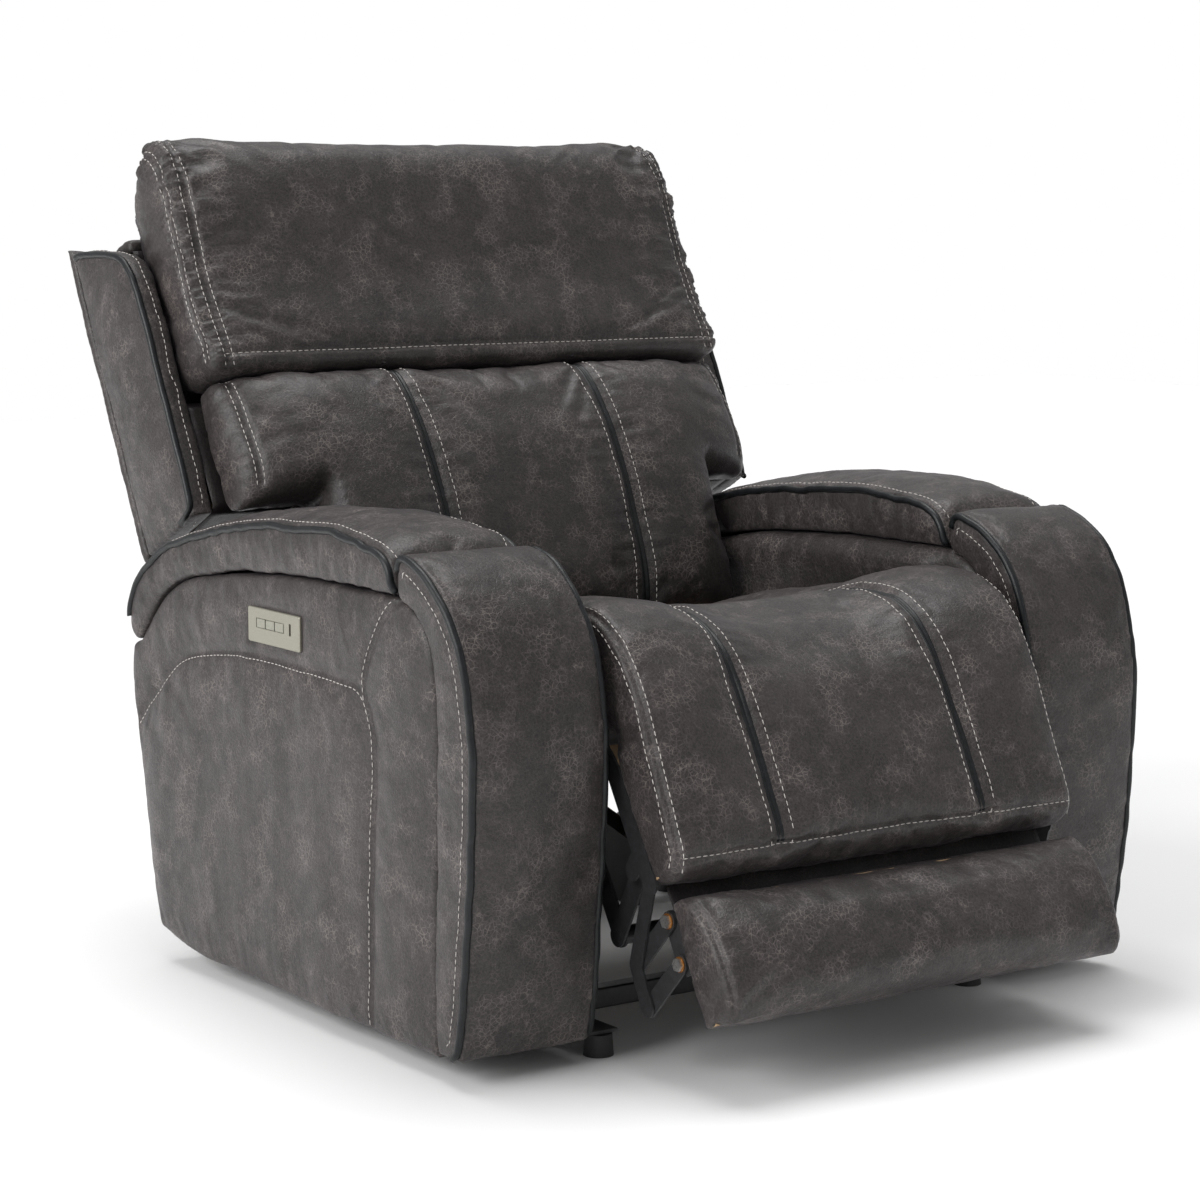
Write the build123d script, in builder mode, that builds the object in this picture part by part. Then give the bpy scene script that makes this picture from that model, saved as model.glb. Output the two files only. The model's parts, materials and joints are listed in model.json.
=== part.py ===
from build123d import *
import os

os.makedirs("parts", exist_ok=True)

# A power recliner armchair, partly opened and partly reclined.
# +Z is up, the chair faces -Y, and the origin is on the floor under the middle of its box.
# Outlines are drawn from the side: first number to the rear from the arms' front, second up.
# "Right" and "left" are the sitter's: right is -X.

# ---- driving dimensions, mm and degrees ----
FRONT_TO_ORIGIN = 424.5
SIDES = ((-1, "right"), (1, "left"))

ARM_INNER = 320
ARM_OUTER = 500
ARM_SIDE_STEP = 3            # the outer side panel lies this far inside the arm's welts
ARM_BOARD = 18               # thickness of the board in the middle of each arm
ARM_BOTTOM = 25

SEAT_HALF = 296
SEAT_BASE_Z = 352
KNEE = (70, 415)             # pivot of the leg rest
KNEE_ROLL_R = 82
LEG_ANGLE = 32               # leg pad from the vertical, at rest
FOOT_ORIGIN = (0, 260)
FOOT_ANGLE = 27
FOOT_HALF = 295
BOARD_HALF = 280

BACK_PIVOT = (640, 300)
BACK_LEAN = 28               # back from the vertical, at rest
BACK_HALF = 450
BACK_BOTTOM = 290            # lower edge of the wide part, measured up the back
BACK_TOP = 736
WING = 32
LUMBAR_LOW_HALF = 298
LUMBAR_HALF = 405
LUMBAR_TOP = 455
PILLOW_HALF = 412
HEAD_PIVOT = (463, 125)      # up the back, forward of its pivot line

# steel side mechanism: distances from the middle plane to each layer's inner face
PLATE_X, PLATE_T = 300, 4
BRACKET_X, BRACKET_T = 296.6, 2.8
LINK_X, LINK_T = 292.8, 3
FOOT_BRACKET_X = 288.8
DRIVE_LINK_X = 284.8
DRIVE_ARM_X = 280.8
DRIVE_PIVOT = (115, 328)
TUBE_CENTRE = (5, 150)
DRIVE_END = (-40, 236)
FOOT_PIN_A = (-105.1, 190.1)
FOOT_PIN_B = (-127.8, 145.5)
LINK_VECTOR = (-58.0, 62.2)  # from a link's lower pin to its foot pin
PIN_R = 5
RUNNING = 0.05               # radial clearance of a running fit

RAIL_Z = 26
RAIL_FRONT, RAIL_REAR = 40, 700
FOOT_R, FOOT_X = 18, 284
FOOT_YS = (48, 690)

PLATE_FRONT, PLATE_REAR = 358, 485      # switch plate, along the arm
PLATE_LOW, PLATE_HIGH = 452, 495
BUTTON_COUNT, BUTTON_PITCH = 3, 22.5
BUTTON_LONG, BUTTON_HIGH = 20, 11
BUTTON_MIDDLE = (430, 476.5)
SOCKET_Y = 381

BACK_MOTOR_PIN, BACK_MOTOR_END = (242, 160), (660, 265)
LEG_MOTOR_PIN, LEG_MOTOR_END = (454, 200), (87, 299)
BACK_MOTOR_X, LEG_MOTOR_X = -60, 60


# ---- helpers ----
def side_plane(x):
    """Sketch plane facing +X: first number to the rear from the arms' front, second up."""
    return Plane(origin=(x, -FRONT_TO_ORIGIN, 0), x_dir=(0, 1, 0), z_dir=(1, 0, 0))


def back_plane(x):
    """Sketch plane in the leaning back: first number up the back, second forward."""
    along = Vector(0, 1, 0).rotate(Axis.X, 90 - BACK_LEAN)
    y, z = BACK_PIVOT
    return Plane(origin=(x, y - FRONT_TO_ORIGIN, z), x_dir=along, z_dir=(1, 0, 0))


def slant_plane(x, origin, angle):
    """Sketch plane facing -X on a hanging board: first number down it, second outward."""
    down = Vector(0, 0, -1).rotate(Axis.X, -angle)
    y, z = origin
    return Plane(origin=(x, y - FRONT_TO_ORIGIN, z), x_dir=down, z_dir=(-1, 0, 0))


def leg_plane(x):
    return slant_plane(x, KNEE, LEG_ANGLE)


def foot_plane(x):
    return slant_plane(x, FOOT_ORIGIN, FOOT_ANGLE)


def low_x(side, inner, thick):
    """Smallest x of a layer that starts inner from the middle plane on one side."""
    return inner if side > 0 else -inner - thick


def high_x(side, inner, thick):
    return low_x(side, inner, thick) + thick


def outline(*curves):
    """Closed face from runs of points: a run of two is straight, a longer one is a spline."""
    with BuildLine() as path:
        for run in curves:
            if len(run) == 2:
                Line(*run)
            else:
                Spline(*run)
    make_face(path.line.edges())


def bar(start, end, radius):
    """Flat link with round ends, added to the current sketch."""
    with BuildSketch(mode=Mode.PRIVATE) as link:
        with Locations(start, end):
            Circle(radius)
        make_hull()
    add(link.sketch)


def holes(points, radius):
    with Locations(*points):
        Circle(radius, mode=Mode.SUBTRACT)


def pin(x, point, radius, length):
    """Round pin along X, from x for the given length."""
    with BuildSketch(side_plane(x)) as section:
        with Locations(point):
            Circle(radius)
    extrude(section.sketch, amount=length)


def shift(point, vector, sign=1):
    return (point[0] + sign * vector[0], point[1] + sign * vector[1])


def save(piece, name):
    piece.part.label = name
    export_step(piece.part, f"parts/{name}.step")


LINK_PIN_A = shift(FOOT_PIN_A, LINK_VECTOR, -1)
LINK_PIN_B = shift(FOOT_PIN_B, LINK_VECTOR, -1)

# ---- arms ----
PAD_SEAM = [
    (138, 541), (240, 542), (355, 541), (504, 532), (583, 521), (664, 506), (721, 481),
    (765, 441), (788, 414),
]
ARM_REAR = [(806, 411), (813, 385), (805, 320), (781, 204), (762, 100), (744, 42)]
FRONT_SEAM = [(61, 31), (66, 140), (57, 324), (63, 459), (102, 527), (138, 541)]
FRONT_FACE = [
    (11, 31), (-9, 167), (-21, 281), (-24, 382), (-9, 468), (21, 530), (73, 575), (128, 592),
    (141, 598),
]
PAD_TOP = [
    (144, 566), (170, 596), (240, 608), (306, 612), (451, 604), (594, 583), (718, 547),
    (791, 496), (828, 463),
]


def arm_outline():
    """Side outline of the arm below its pad and behind its front."""
    outline(
        [(62, ARM_BOTTOM), (62, 31)],
        [shift(p, (1, 0)) for p in FRONT_SEAM],
        [(139, 541), (139, 540)],
        [shift(p, (1 if i == 0 else 0, -1)) for i, p in enumerate(PAD_SEAM)],
        [(788, 413), (806, 411)],
        ARM_REAR,
        [(744, 42), (647, 28), (540, ARM_BOTTOM)],
        [(540, ARM_BOTTOM), (62, ARM_BOTTOM)],
    )


arm_middle = (ARM_INNER + ARM_OUTER) / 2
board_inner = arm_middle - ARM_BOARD / 2
board_outer = arm_middle + ARM_BOARD / 2
outer_face = ARM_OUTER - ARM_SIDE_STEP

with BuildPart() as arm_boards:
    for side, hand in SIDES:
        with BuildSketch(side_plane(low_x(side, board_inner, ARM_BOARD))):
            arm_outline()
        extrude(amount=ARM_BOARD)
save(arm_boards, "arm_boards")

with BuildPart() as arm_inner_sides:
    for side, hand in SIDES:
        with BuildSketch(side_plane(low_x(side, ARM_INNER, board_inner - ARM_INNER))):
            arm_outline()
        extrude(amount=board_inner - ARM_INNER)
save(arm_inner_sides, "arm_inner_sides")

for side, hand in SIDES:
    with BuildPart() as arm_outer_side:
        with BuildSketch(side_plane(low_x(side, board_outer, outer_face - board_outer))):
            arm_outline()
        extrude(amount=outer_face - board_outer)
        if hand == "right":
            # pocket for the switch module
            with BuildSketch(side_plane(-outer_face)):
                with Locations(((PLATE_FRONT + PLATE_REAR) / 2, (PLATE_LOW + PLATE_HIGH) / 2)):
                    Rectangle(115.6, 33.6)
            extrude(amount=27, mode=Mode.SUBTRACT)
    save(arm_outer_side, f"arm_outer_side_{hand}")

    with BuildPart() as arm_pad:
        with BuildSketch(side_plane(low_x(side, ARM_INNER, ARM_OUTER - ARM_INNER))):
            outline(
                [(142, 544), (144, 566)],
                PAD_TOP,
                [(828, 463), (820, 431), (806, 412.5)],
                [(806, 412.5), (789, 415)],
                [shift(p, (4 if i == 0 else 1, 1 if i else 3)) for i, p in enumerate(PAD_SEAM)][::-1],
            )
        extrude(amount=ARM_OUTER - ARM_INNER)
    save(arm_pad, f"arm_pad_{hand}")

    with BuildPart() as arm_front:
        with BuildSketch(side_plane(low_x(side, ARM_INNER, ARM_OUTER - ARM_INNER))):
            outline(
                FRONT_SEAM,
                [(138, 541), (141, 598)],
                FRONT_FACE[::-1],
                [(11, 31), (61, 31)],
            )
        extrude(amount=ARM_OUTER - ARM_INNER)
    save(arm_front, f"arm_front_{hand}")

# ---- switch on the right arm ----
plate_middle = ((PLATE_FRONT + PLATE_REAR) / 2, (PLATE_LOW + PLATE_HIGH) / 2)
window_long = BUTTON_COUNT * BUTTON_PITCH + 1
with BuildPart() as switch_plate:
    with BuildSketch(side_plane(-ARM_OUTER)):
        with Locations(plate_middle):
            RectangleRounded(PLATE_REAR - PLATE_FRONT, PLATE_HIGH - PLATE_LOW, 3)
        with Locations(BUTTON_MIDDLE):
            RectangleRounded(window_long, BUTTON_HIGH + 1, 1, mode=Mode.SUBTRACT)
        with Locations((SOCKET_Y, BUTTON_MIDDLE[1])):
            Rectangle(4.6, 14.6, mode=Mode.SUBTRACT)
    extrude(amount=ARM_SIDE_STEP)
    chamfer(switch_plate.faces().sort_by(Axis.X)[0].outer_wire().edges(), 0.8)
save(switch_plate, "switch_plate")

with BuildPart() as switch_module:
    with BuildSketch(side_plane(-ARM_OUTER + 5.5)):
        with Locations(plate_middle):
            Rectangle(115, 33)
        with Locations((SOCKET_Y, BUTTON_MIDDLE[1])):
            Rectangle(4.6, 14.6, mode=Mode.SUBTRACT)
    extrude(amount=22)
save(switch_module, "switch_module")

with BuildPart() as usb_tongue:
    with BuildSketch(side_plane(-ARM_OUTER + 4)):
        with Locations((SOCKET_Y + 1, BUTTON_MIDDLE[1])):
            Rectangle(1.6, 11)
    extrude(amount=23)
save(usb_tongue, "usb_tongue")

for index in range(BUTTON_COUNT):
    button_y = BUTTON_MIDDLE[0] + (index - (BUTTON_COUNT - 1) / 2) * BUTTON_PITCH
    with BuildPart() as button:
        with BuildSketch(side_plane(-ARM_OUTER - 0.4)):
            with Locations((button_y, BUTTON_MIDDLE[1])):
                RectangleRounded(BUTTON_LONG, BUTTON_HIGH, 1.2)
        extrude(amount=4.2)
        chamfer(button.faces().sort_by(Axis.X)[0].edges(), 0.5)
    save(button, f"button_{index + 1}")

# ---- seat ----
SEAT_TOP = [(70, 497), (132, 502), (200, 492), (288, 475), (372, 460), (437, 448), (506, 432)]
with BuildPart() as seat_cushion:
    with BuildSketch(side_plane(-SEAT_HALF)):
        outline(
            SEAT_TOP,
            [(506, 432), (512, 402)],
            [(512, 402), (572, 378)],
            [(572, 378), (572, SEAT_BASE_Z)],
            [(572, SEAT_BASE_Z), (70, SEAT_BASE_Z)],
            [(70, SEAT_BASE_Z), (70, 497)],
        )
        with Locations(KNEE):
            Circle(KNEE_ROLL_R)
        with Locations((KNEE[0], SEAT_BASE_Z - KNEE_ROLL_R)):
            Rectangle(3 * KNEE_ROLL_R, 2 * KNEE_ROLL_R, mode=Mode.SUBTRACT)
    extrude(amount=2 * SEAT_HALF)
save(seat_cushion, "seat_cushion")

with BuildPart() as seat_rails:
    for side, hand in SIDES:
        with BuildSketch(side_plane(low_x(side, 270, 30))):
            with Locations((380, 322.5)):
                Rectangle(440, 45)
        extrude(amount=30)
    with BuildSketch(side_plane(-269.8)):
        with Locations((175, 330), (586, 330)):
            Rectangle(25, 30)
    extrude(amount=2 * 269.8)
save(seat_rails, "seat_rails")

SPRING_XS = (-200, -120, -40, 40, 120, 200)
with BuildPart() as seat_springs:
    for x in SPRING_XS:
        with BuildSketch(Plane.XY.offset(345)):
            with BuildLine():
                zigzag = [(x - 18 + 36 * (i % 2), 165 + 21.5 * i - FRONT_TO_ORIGIN) for i in range(21)]
                Polyline(*zigzag)
            trace(line_width=4)
        extrude(amount=4)
save(seat_springs, "seat_springs")

# ---- leg rest ----
with BuildPart() as leg_pad:
    with BuildSketch(leg_plane(SEAT_HALF)):
        outline(
            [(-4, 92), (25, 98), (60, 99.5), (165, 99.5), (230, 92), (251, 80)],
            [(251, 80), (236, 40)],
            [(236, 40), (60, 40)],
            [(60, 40), (-4, 70)],
            [(-4, 70), (-4, 92)],
        )
        Circle(KNEE_ROLL_R + 1.5, mode=Mode.SUBTRACT)
    extrude(amount=2 * SEAT_HALF)
save(leg_pad, "leg_pad")

with BuildPart() as leg_board:
    with BuildSketch(leg_plane(BRACKET_X)):
        with Locations((163, 31)):
            Rectangle(146, 18)
    extrude(amount=2 * BRACKET_X)
save(leg_board, "leg_board")

with BuildPart() as leg_flap:
    with BuildSketch(leg_plane(BOARD_HALF)):
        with Locations((280, 23)):
            Rectangle(88, 2)
    extrude(amount=2 * BOARD_HALF)
save(leg_flap, "leg_flap")


def leg_local(point):
    """Point of the side view, in the leg plane's own numbers."""
    spot = leg_plane(0).to_local_coords(Vector(0, point[0] - FRONT_TO_ORIGIN, point[1]))
    return (spot.X, spot.Y)


with BuildPart() as leg_brackets:
    for side, hand in SIDES:
        with BuildSketch(leg_plane(high_x(side, BRACKET_X, BRACKET_T))):
            bar((0, 0), (100, 24), 13)
            bar((100, 24), (236, 22), 13)
            bar((236, 22), leg_local(LINK_PIN_A), 11)
            bar(leg_local(LINK_PIN_A), leg_local(LINK_PIN_B), 11)
            bar((200, 20), leg_local(DRIVE_END), 12)
            holes([(0, 0)], 6)
        extrude(amount=BRACKET_T)
        for spot in (LINK_PIN_A, LINK_PIN_B):
            pin(low_x(side, 290.4, 6.2), spot, PIN_R, 6.2)
            pin(low_x(side, 290.4, 2.2), spot, 8, 2.2)
        pin(low_x(side, 284.2, 12.4), DRIVE_END, PIN_R, 12.4)
save(leg_brackets, "leg_brackets")

for spot, tag in ((LINK_PIN_A, "upper"), (LINK_PIN_B, "lower")):
    with BuildPart() as foot_links:
        for side, hand in SIDES:
            with BuildSketch(side_plane(low_x(side, LINK_X, LINK_T))):
                bar(spot, shift(spot, LINK_VECTOR), 11)
                holes([spot], PIN_R + RUNNING)
                holes([shift(spot, LINK_VECTOR)], PIN_R + (RUNNING if tag == "upper" else 0.3))
            extrude(amount=LINK_T)
    save(foot_links, f"foot_links_{tag}")

with BuildPart() as foot_brackets:
    for side, hand in SIDES:
        with BuildSketch(side_plane(low_x(side, FOOT_BRACKET_X, LINK_T))):
            bar(FOOT_PIN_A, FOOT_PIN_B, 12)
        extrude(amount=LINK_T)
        with BuildSketch(foot_plane(high_x(side, FOOT_BRACKET_X, LINK_T))):
            with Locations((140, 68)):
                Rectangle(70, 12)
        extrude(amount=LINK_T)
save(foot_brackets, "foot_brackets")

with BuildPart() as foot_washers:
    for side, hand in SIDES:
        for spot in (FOOT_PIN_A, FOOT_PIN_B):
            with BuildSketch(side_plane(low_x(side, 296.0, 1.2))):
                with Locations(spot):
                    Circle(9)
                    Circle(PIN_R + 0.1, mode=Mode.SUBTRACT)
            extrude(amount=1.2)
save(foot_washers, "foot_washers")

with BuildPart() as foot_bolts:
    for side, hand in SIDES:
        for spot in (FOOT_PIN_A, FOOT_PIN_B):
            pin(low_x(side, 291.8, 5.5), spot, PIN_R, 5.5)
            with BuildSketch(side_plane(low_x(side, 297.3, 4))):
                with Locations(spot):
                    RegularPolygon(8, 6)
            extrude(amount=4)
save(foot_bolts, "foot_bolts")

with BuildPart() as foot_pad:
    with BuildSketch(foot_plane(FOOT_HALF)):
        outline(
            [
                (92, 96), (98, 112), (129, 131), (176, 140.5), (213, 141.5), (234, 135.5),
                (245, 118), (243, 100),
            ],
            [(243, 100), (238, 88)],
            [(238, 88), (96, 88)],
            [(96, 88), (92, 96)],
        )
    extrude(amount=2 * FOOT_HALF)
save(foot_pad, "foot_pad")

with BuildPart() as foot_board:
    with BuildSketch(foot_plane(FOOT_BRACKET_X)):
        with Locations((167, 81)):
            Rectangle(142, 14)
    extrude(amount=2 * FOOT_BRACKET_X)
save(foot_board, "foot_board")

# ---- drive linkage ----
with BuildPart() as drive_arms:
    for side, hand in SIDES:
        with BuildSketch(side_plane(low_x(side, DRIVE_ARM_X, LINK_T))):
            bar(DRIVE_PIVOT, TUBE_CENTRE, 14)
            holes([DRIVE_PIVOT], 6 + RUNNING)
            holes([TUBE_CENTRE], 7)
        extrude(amount=LINK_T)
save(drive_arms, "drive_arms")

with BuildPart() as drive_links:
    for side, hand in SIDES:
        with BuildSketch(side_plane(low_x(side, DRIVE_LINK_X, LINK_T))):
            bar(TUBE_CENTRE, DRIVE_END, 13)
            holes([TUBE_CENTRE], 7 + RUNNING)
            holes([DRIVE_END], PIN_R + 1.2)
        extrude(amount=LINK_T)
save(drive_links, "drive_links")

with BuildPart() as cross_tube:
    pin(-280.6, TUBE_CENTRE, 11, 561.2)
    pin(-288.4, TUBE_CENTRE, 7, 576.8)
save(cross_tube, "cross_tube")

with BuildPart() as drive_crank:
    with BuildSketch(side_plane(LEG_MOTOR_X - 12)):
        bar(TUBE_CENTRE, (60, 235), 10)
        bar((60, 235), LEG_MOTOR_END, 9)
        holes([TUBE_CENTRE], 11)
    extrude(amount=5)
save(drive_crank, "drive_crank")


# ---- motors ----
def actuator(name, x, pivot, end, drop):
    """Screw drive between two pins: a housing with its motor under it, and a sliding rod."""
    run = Vector(0, end[0] - pivot[0], end[1] - pivot[1])
    plane = Plane(origin=(x, pivot[0] - FRONT_TO_ORIGIN, pivot[1]), x_dir=run, z_dir=(1, 0, 0))
    length = run.length
    down = 1 if plane.y_dir.Z < 0 else -1
    with BuildPart() as housing:
        with BuildSketch(plane.offset(-16)):
            with Locations((length * 0.34, 0)):
                RectangleRounded(length * 0.68, 36, 6)
            with Locations((60, down * drop)):
                RectangleRounded(84, 50, 10)
        extrude(amount=32)
        with BuildSketch(Plane(origin=plane.from_local_coords((length * 0.9, 0, 0)), z_dir=-run)):
            Circle(10)
        extrude(amount=length * 0.56, mode=Mode.SUBTRACT)
    save(housing, f"{name}_housing")
    with BuildPart() as rod:
        with BuildSketch(Plane(origin=plane.from_local_coords((length - 24, 0, 0)), z_dir=-run)):
            Circle(9)
        extrude(amount=length * 0.5)
    save(rod, f"{name}_rod")


actuator("back_motor", BACK_MOTOR_X, BACK_MOTOR_PIN, BACK_MOTOR_END, 42)
actuator("leg_motor", LEG_MOTOR_X, LEG_MOTOR_PIN, LEG_MOTOR_END, 42)

# ---- base ----
with BuildPart() as base_rails:
    for side, hand in SIDES:
        with BuildSketch(side_plane(low_x(side, 262, 42))):
            with Locations(((RAIL_FRONT + RAIL_REAR) / 2, RAIL_Z + 2)):
                Rectangle(RAIL_REAR - RAIL_FRONT, 4)
        extrude(amount=42)
        with BuildSketch(side_plane(low_x(side, PLATE_X + PLATE_T, 4))):
            with Locations(((RAIL_FRONT + RAIL_REAR) / 2, RAIL_Z + 19)):
                Rectangle(RAIL_REAR - RAIL_FRONT, 38)
        extrude(amount=4)
save(base_rails, "base_rails")

with BuildPart() as side_plates:
    for side, hand in SIDES:
        with BuildSketch(side_plane(low_x(side, PLATE_X, PLATE_T))):
            with Locations(((RAIL_FRONT + RAIL_REAR) / 2, RAIL_Z + 21.5)):
                Rectangle(RAIL_REAR - RAIL_FRONT - 20, 35)
            bar(KNEE, DRIVE_PIVOT, 14)
            bar(DRIVE_PIVOT, (150, 60), 18)
            bar(DRIVE_PIVOT, (560, 322), 20)
            bar((560, 322), BACK_PIVOT, 20)
            bar(BACK_PIVOT, (650, 60), 20)
            holes([KNEE, DRIVE_PIVOT, BACK_PIVOT], 6)
        extrude(amount=PLATE_T)
save(side_plates, "side_plates")

with BuildPart() as pivot_bolts:
    for side, hand in SIDES:
        for spot, inner in ((KNEE, 296.7), (DRIVE_PIVOT, 280.4), (BACK_PIVOT, 296.7)):
            pin(low_x(side, inner, 304 - inner), spot, 5.95, 304 - inner)
            with BuildSketch(side_plane(low_x(side, 304, 5))):
                with Locations(spot):
                    RegularPolygon(11, 6)
            extrude(amount=5)
save(pivot_bolts, "pivot_bolts")

with BuildPart() as cross_bars:
    with BuildSketch(side_plane(-288)):
        with Locations((132, RAIL_Z + 4 + 12.5), (670, RAIL_Z + 4 + 12.5)):
            RectangleRounded(25, 25, 3)
    extrude(amount=576)
save(cross_bars, "cross_bars")

with BuildPart() as motor_mounts:
    for x, point, bar_y in ((BACK_MOTOR_X, BACK_MOTOR_PIN, 145), (LEG_MOTOR_X, LEG_MOTOR_PIN, 657)):
        with BuildSketch(side_plane(x + 17)):
            bar((bar_y, 64.5), point, 9)
        extrude(amount=4)
save(motor_mounts, "motor_mounts")

with BuildPart() as feet:
    with BuildSketch():
        with Locations(*[(side * FOOT_X, y - FRONT_TO_ORIGIN) for side, _ in SIDES for y in FOOT_YS]):
            Circle(FOOT_R)
    extrude(amount=RAIL_Z, taper=4)
save(feet, "feet")

with BuildPart() as arm_mounts:
    for side, hand in SIDES:
        for spot in ((150, 100), (400, 322), (640, 120)):
            pin(low_x(side, 304.1, ARM_INNER - 304.1), spot, 12, ARM_INNER - 304.1)
save(arm_mounts, "arm_mounts")

with BuildPart() as power_inlet:
    with BuildSketch(side_plane(150)):
        with Locations((700, RAIL_Z + 4 + 14)):
            RectangleRounded(34, 28, 3)
    extrude(amount=44)
    with BuildSketch(Plane.XZ.offset(-(717 - FRONT_TO_ORIGIN))):
        with Locations((172, RAIL_Z + 18)):
            Circle(6)
    extrude(amount=12, mode=Mode.SUBTRACT)
save(power_inlet, "power_inlet")

# ---- back ----
WING_FRONT = [
    (BACK_BOTTOM, 56), (363, 61), (477, 63), (607, 62), (648, 52), (677, 28), (701, -10),
    (728, -66),
]
with BuildPart() as wings:
    for side, hand in SIDES:
        with BuildSketch(back_plane(low_x(side, BACK_HALF - WING, WING))):
            outline(
                WING_FRONT,
                [(728, -66), (734, -93)],
                [(734, -93), (BACK_BOTTOM, -93)],
                [(BACK_BOTTOM, -93), (BACK_BOTTOM, 56)],
            )
        extrude(amount=WING)
save(wings, "wings")

with BuildPart() as back_top_rail:
    with BuildSketch(back_plane(-BACK_HALF + WING + 0.5)):
        with Locations((700, -32)):
            Rectangle(24, 90)
    extrude(amount=2 * (BACK_HALF - WING - 0.5))
save(back_top_rail, "back_top_rail")

with BuildPart() as back_brackets:
    for side, hand in SIDES:
        with BuildSketch(back_plane(low_x(side, BRACKET_X, BRACKET_T))):
            bar((0, 0), (60, -5), 13)
            bar((60, -5), (260, -5), 13)
            holes([(0, 0)], 6)
        extrude(amount=BRACKET_T)
        with BuildSketch(side_plane(low_x(side, BRACKET_X, BRACKET_T))):
            bar(shift(BACK_PIVOT, (5, -9)), BACK_MOTOR_END, 10)
            holes([BACK_PIVOT], 6)
        extrude(amount=BRACKET_T)
save(back_brackets, "back_brackets")

with BuildPart() as back_lever_tube:
    pin(-BRACKET_X, BACK_MOTOR_END, 9, 2 * BRACKET_X)
save(back_lever_tube, "back_lever_tube")

with BuildPart() as outside_back:
    with BuildSketch(back_plane(-BACK_HALF)):
        with Locations(((BACK_BOTTOM + BACK_TOP) / 2, -103)):
            Rectangle(BACK_TOP - BACK_BOTTOM, 18)
    extrude(amount=2 * BACK_HALF)
save(outside_back, "outside_back")

with BuildPart() as lower_back_panel:
    with BuildSketch(back_plane(-LUMBAR_LOW_HALF + 2)):
        with Locations((160, -42)):
            Rectangle(258, 12)
    extrude(amount=2 * LUMBAR_LOW_HALF - 4)
save(lower_back_panel, "lower_back_panel")

with BuildPart() as back_posts:
    for side, hand in SIDES:
        with BuildSketch(back_plane(low_x(side, 256, 40))):
            with Locations((355, -8)):
                Rectangle(630, 50)
        extrude(amount=40)
save(back_posts, "back_posts")

with BuildPart() as back_rails:
    with BuildSketch(back_plane(-417)):
        with Locations((330, -60), (660, -60)):
            Rectangle(44, 50)
    extrude(amount=834)
    with BuildSketch(back_plane(-255.8)):
        with Locations((90, 0)):
            Rectangle(44, 24)
    extrude(amount=511.6)
save(back_rails, "back_rails")

with BuildPart() as back_springs:
    for height in (150, 215, 280, 345, 410):
        with BuildSketch(back_plane(-255.8)):
            with Locations((height, 12)):
                Rectangle(4, 4)
        extrude(amount=511.6)
save(back_springs, "back_springs")

LUMBAR_FACE = [
    (75, 146), (100, 160), (135, 170), (190, 178), (253, 184), (329, 183), (386, 173),
    (414, 162), (LUMBAR_TOP, 142),
]
with BuildPart() as lumbar_cushion:
    with BuildSketch(back_plane(-LUMBAR_LOW_HALF)):
        outline(
            LUMBAR_FACE,
            [(LUMBAR_TOP, 142), (LUMBAR_TOP, 64)],
            [(LUMBAR_TOP, 64), (75, 64)],
            [(75, 64), (75, 146)],
        )
    extrude(amount=2 * LUMBAR_LOW_HALF)
    with BuildSketch(back_plane(-LUMBAR_HALF)):
        with Locations(((300 + LUMBAR_TOP) / 2, 94)):
            RectangleRounded(LUMBAR_TOP - 300, 60, 20)
    extrude(amount=2 * LUMBAR_HALF)
save(lumbar_cushion, "lumbar_cushion")

# ---- headrest ----
PILLOW_FRONT = [
    (471, 146), (513, 136), (559, 131), (601, 131), (657, 137), (725, 143), (773, 138),
    (812, 115), (826, 99),
]
PILLOW_REAR = [(826, 99), (803, 82), (774, 56), (744, 46), (660, 46), (563, 46)]
with BuildPart() as headrest_pillow:
    with BuildSketch(back_plane(-PILLOW_HALF)):
        outline(
            PILLOW_FRONT,
            PILLOW_REAR,
            [(563, 46), (482, 46)],
            [(482, 46), (471, 70)],
            [(471, 70), (471, 146)],
        )
    extrude(amount=2 * PILLOW_HALF)
save(headrest_pillow, "headrest_pillow")

with BuildPart() as headrest_board:
    with BuildSketch(back_plane(-380)):
        with Locations((608, 30)):
            Rectangle(250, 16)
    extrude(amount=760)
save(headrest_board, "headrest_board")

with BuildPart() as headrest_arms:
    for side, hand in SIDES:
        with BuildSketch(back_plane(low_x(side, 150, 4))):
            with Locations((463, 81)):
                Rectangle(9, 100)
            with Locations((474, 37)):
                Rectangle(15, 12)
            holes([HEAD_PIVOT], 4 + RUNNING)
        extrude(amount=4)
save(headrest_arms, "headrest_arms")

with BuildPart() as headrest_brackets:
    for side, hand in SIDES:
        with BuildSketch(back_plane(low_x(side, 270, 4))):
            with Locations((463, 74)):
                Rectangle(9, 114)
            holes([HEAD_PIVOT], 4)
        extrude(amount=4)
save(headrest_brackets, "headrest_brackets")

with BuildPart() as headrest_rod:
    with BuildSketch(back_plane(-276)):
        with Locations(HEAD_PIVOT):
            Circle(3.98)
    extrude(amount=552)
save(headrest_rod, "headrest_rod")

with BuildPart() as headrest_motor:
    with BuildSketch(back_plane(-30)):
        with Locations((560, -10)):
            RectangleRounded(150, 40, 8)
    extrude(amount=60)
save(headrest_motor, "headrest_motor")
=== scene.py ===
import math

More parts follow.
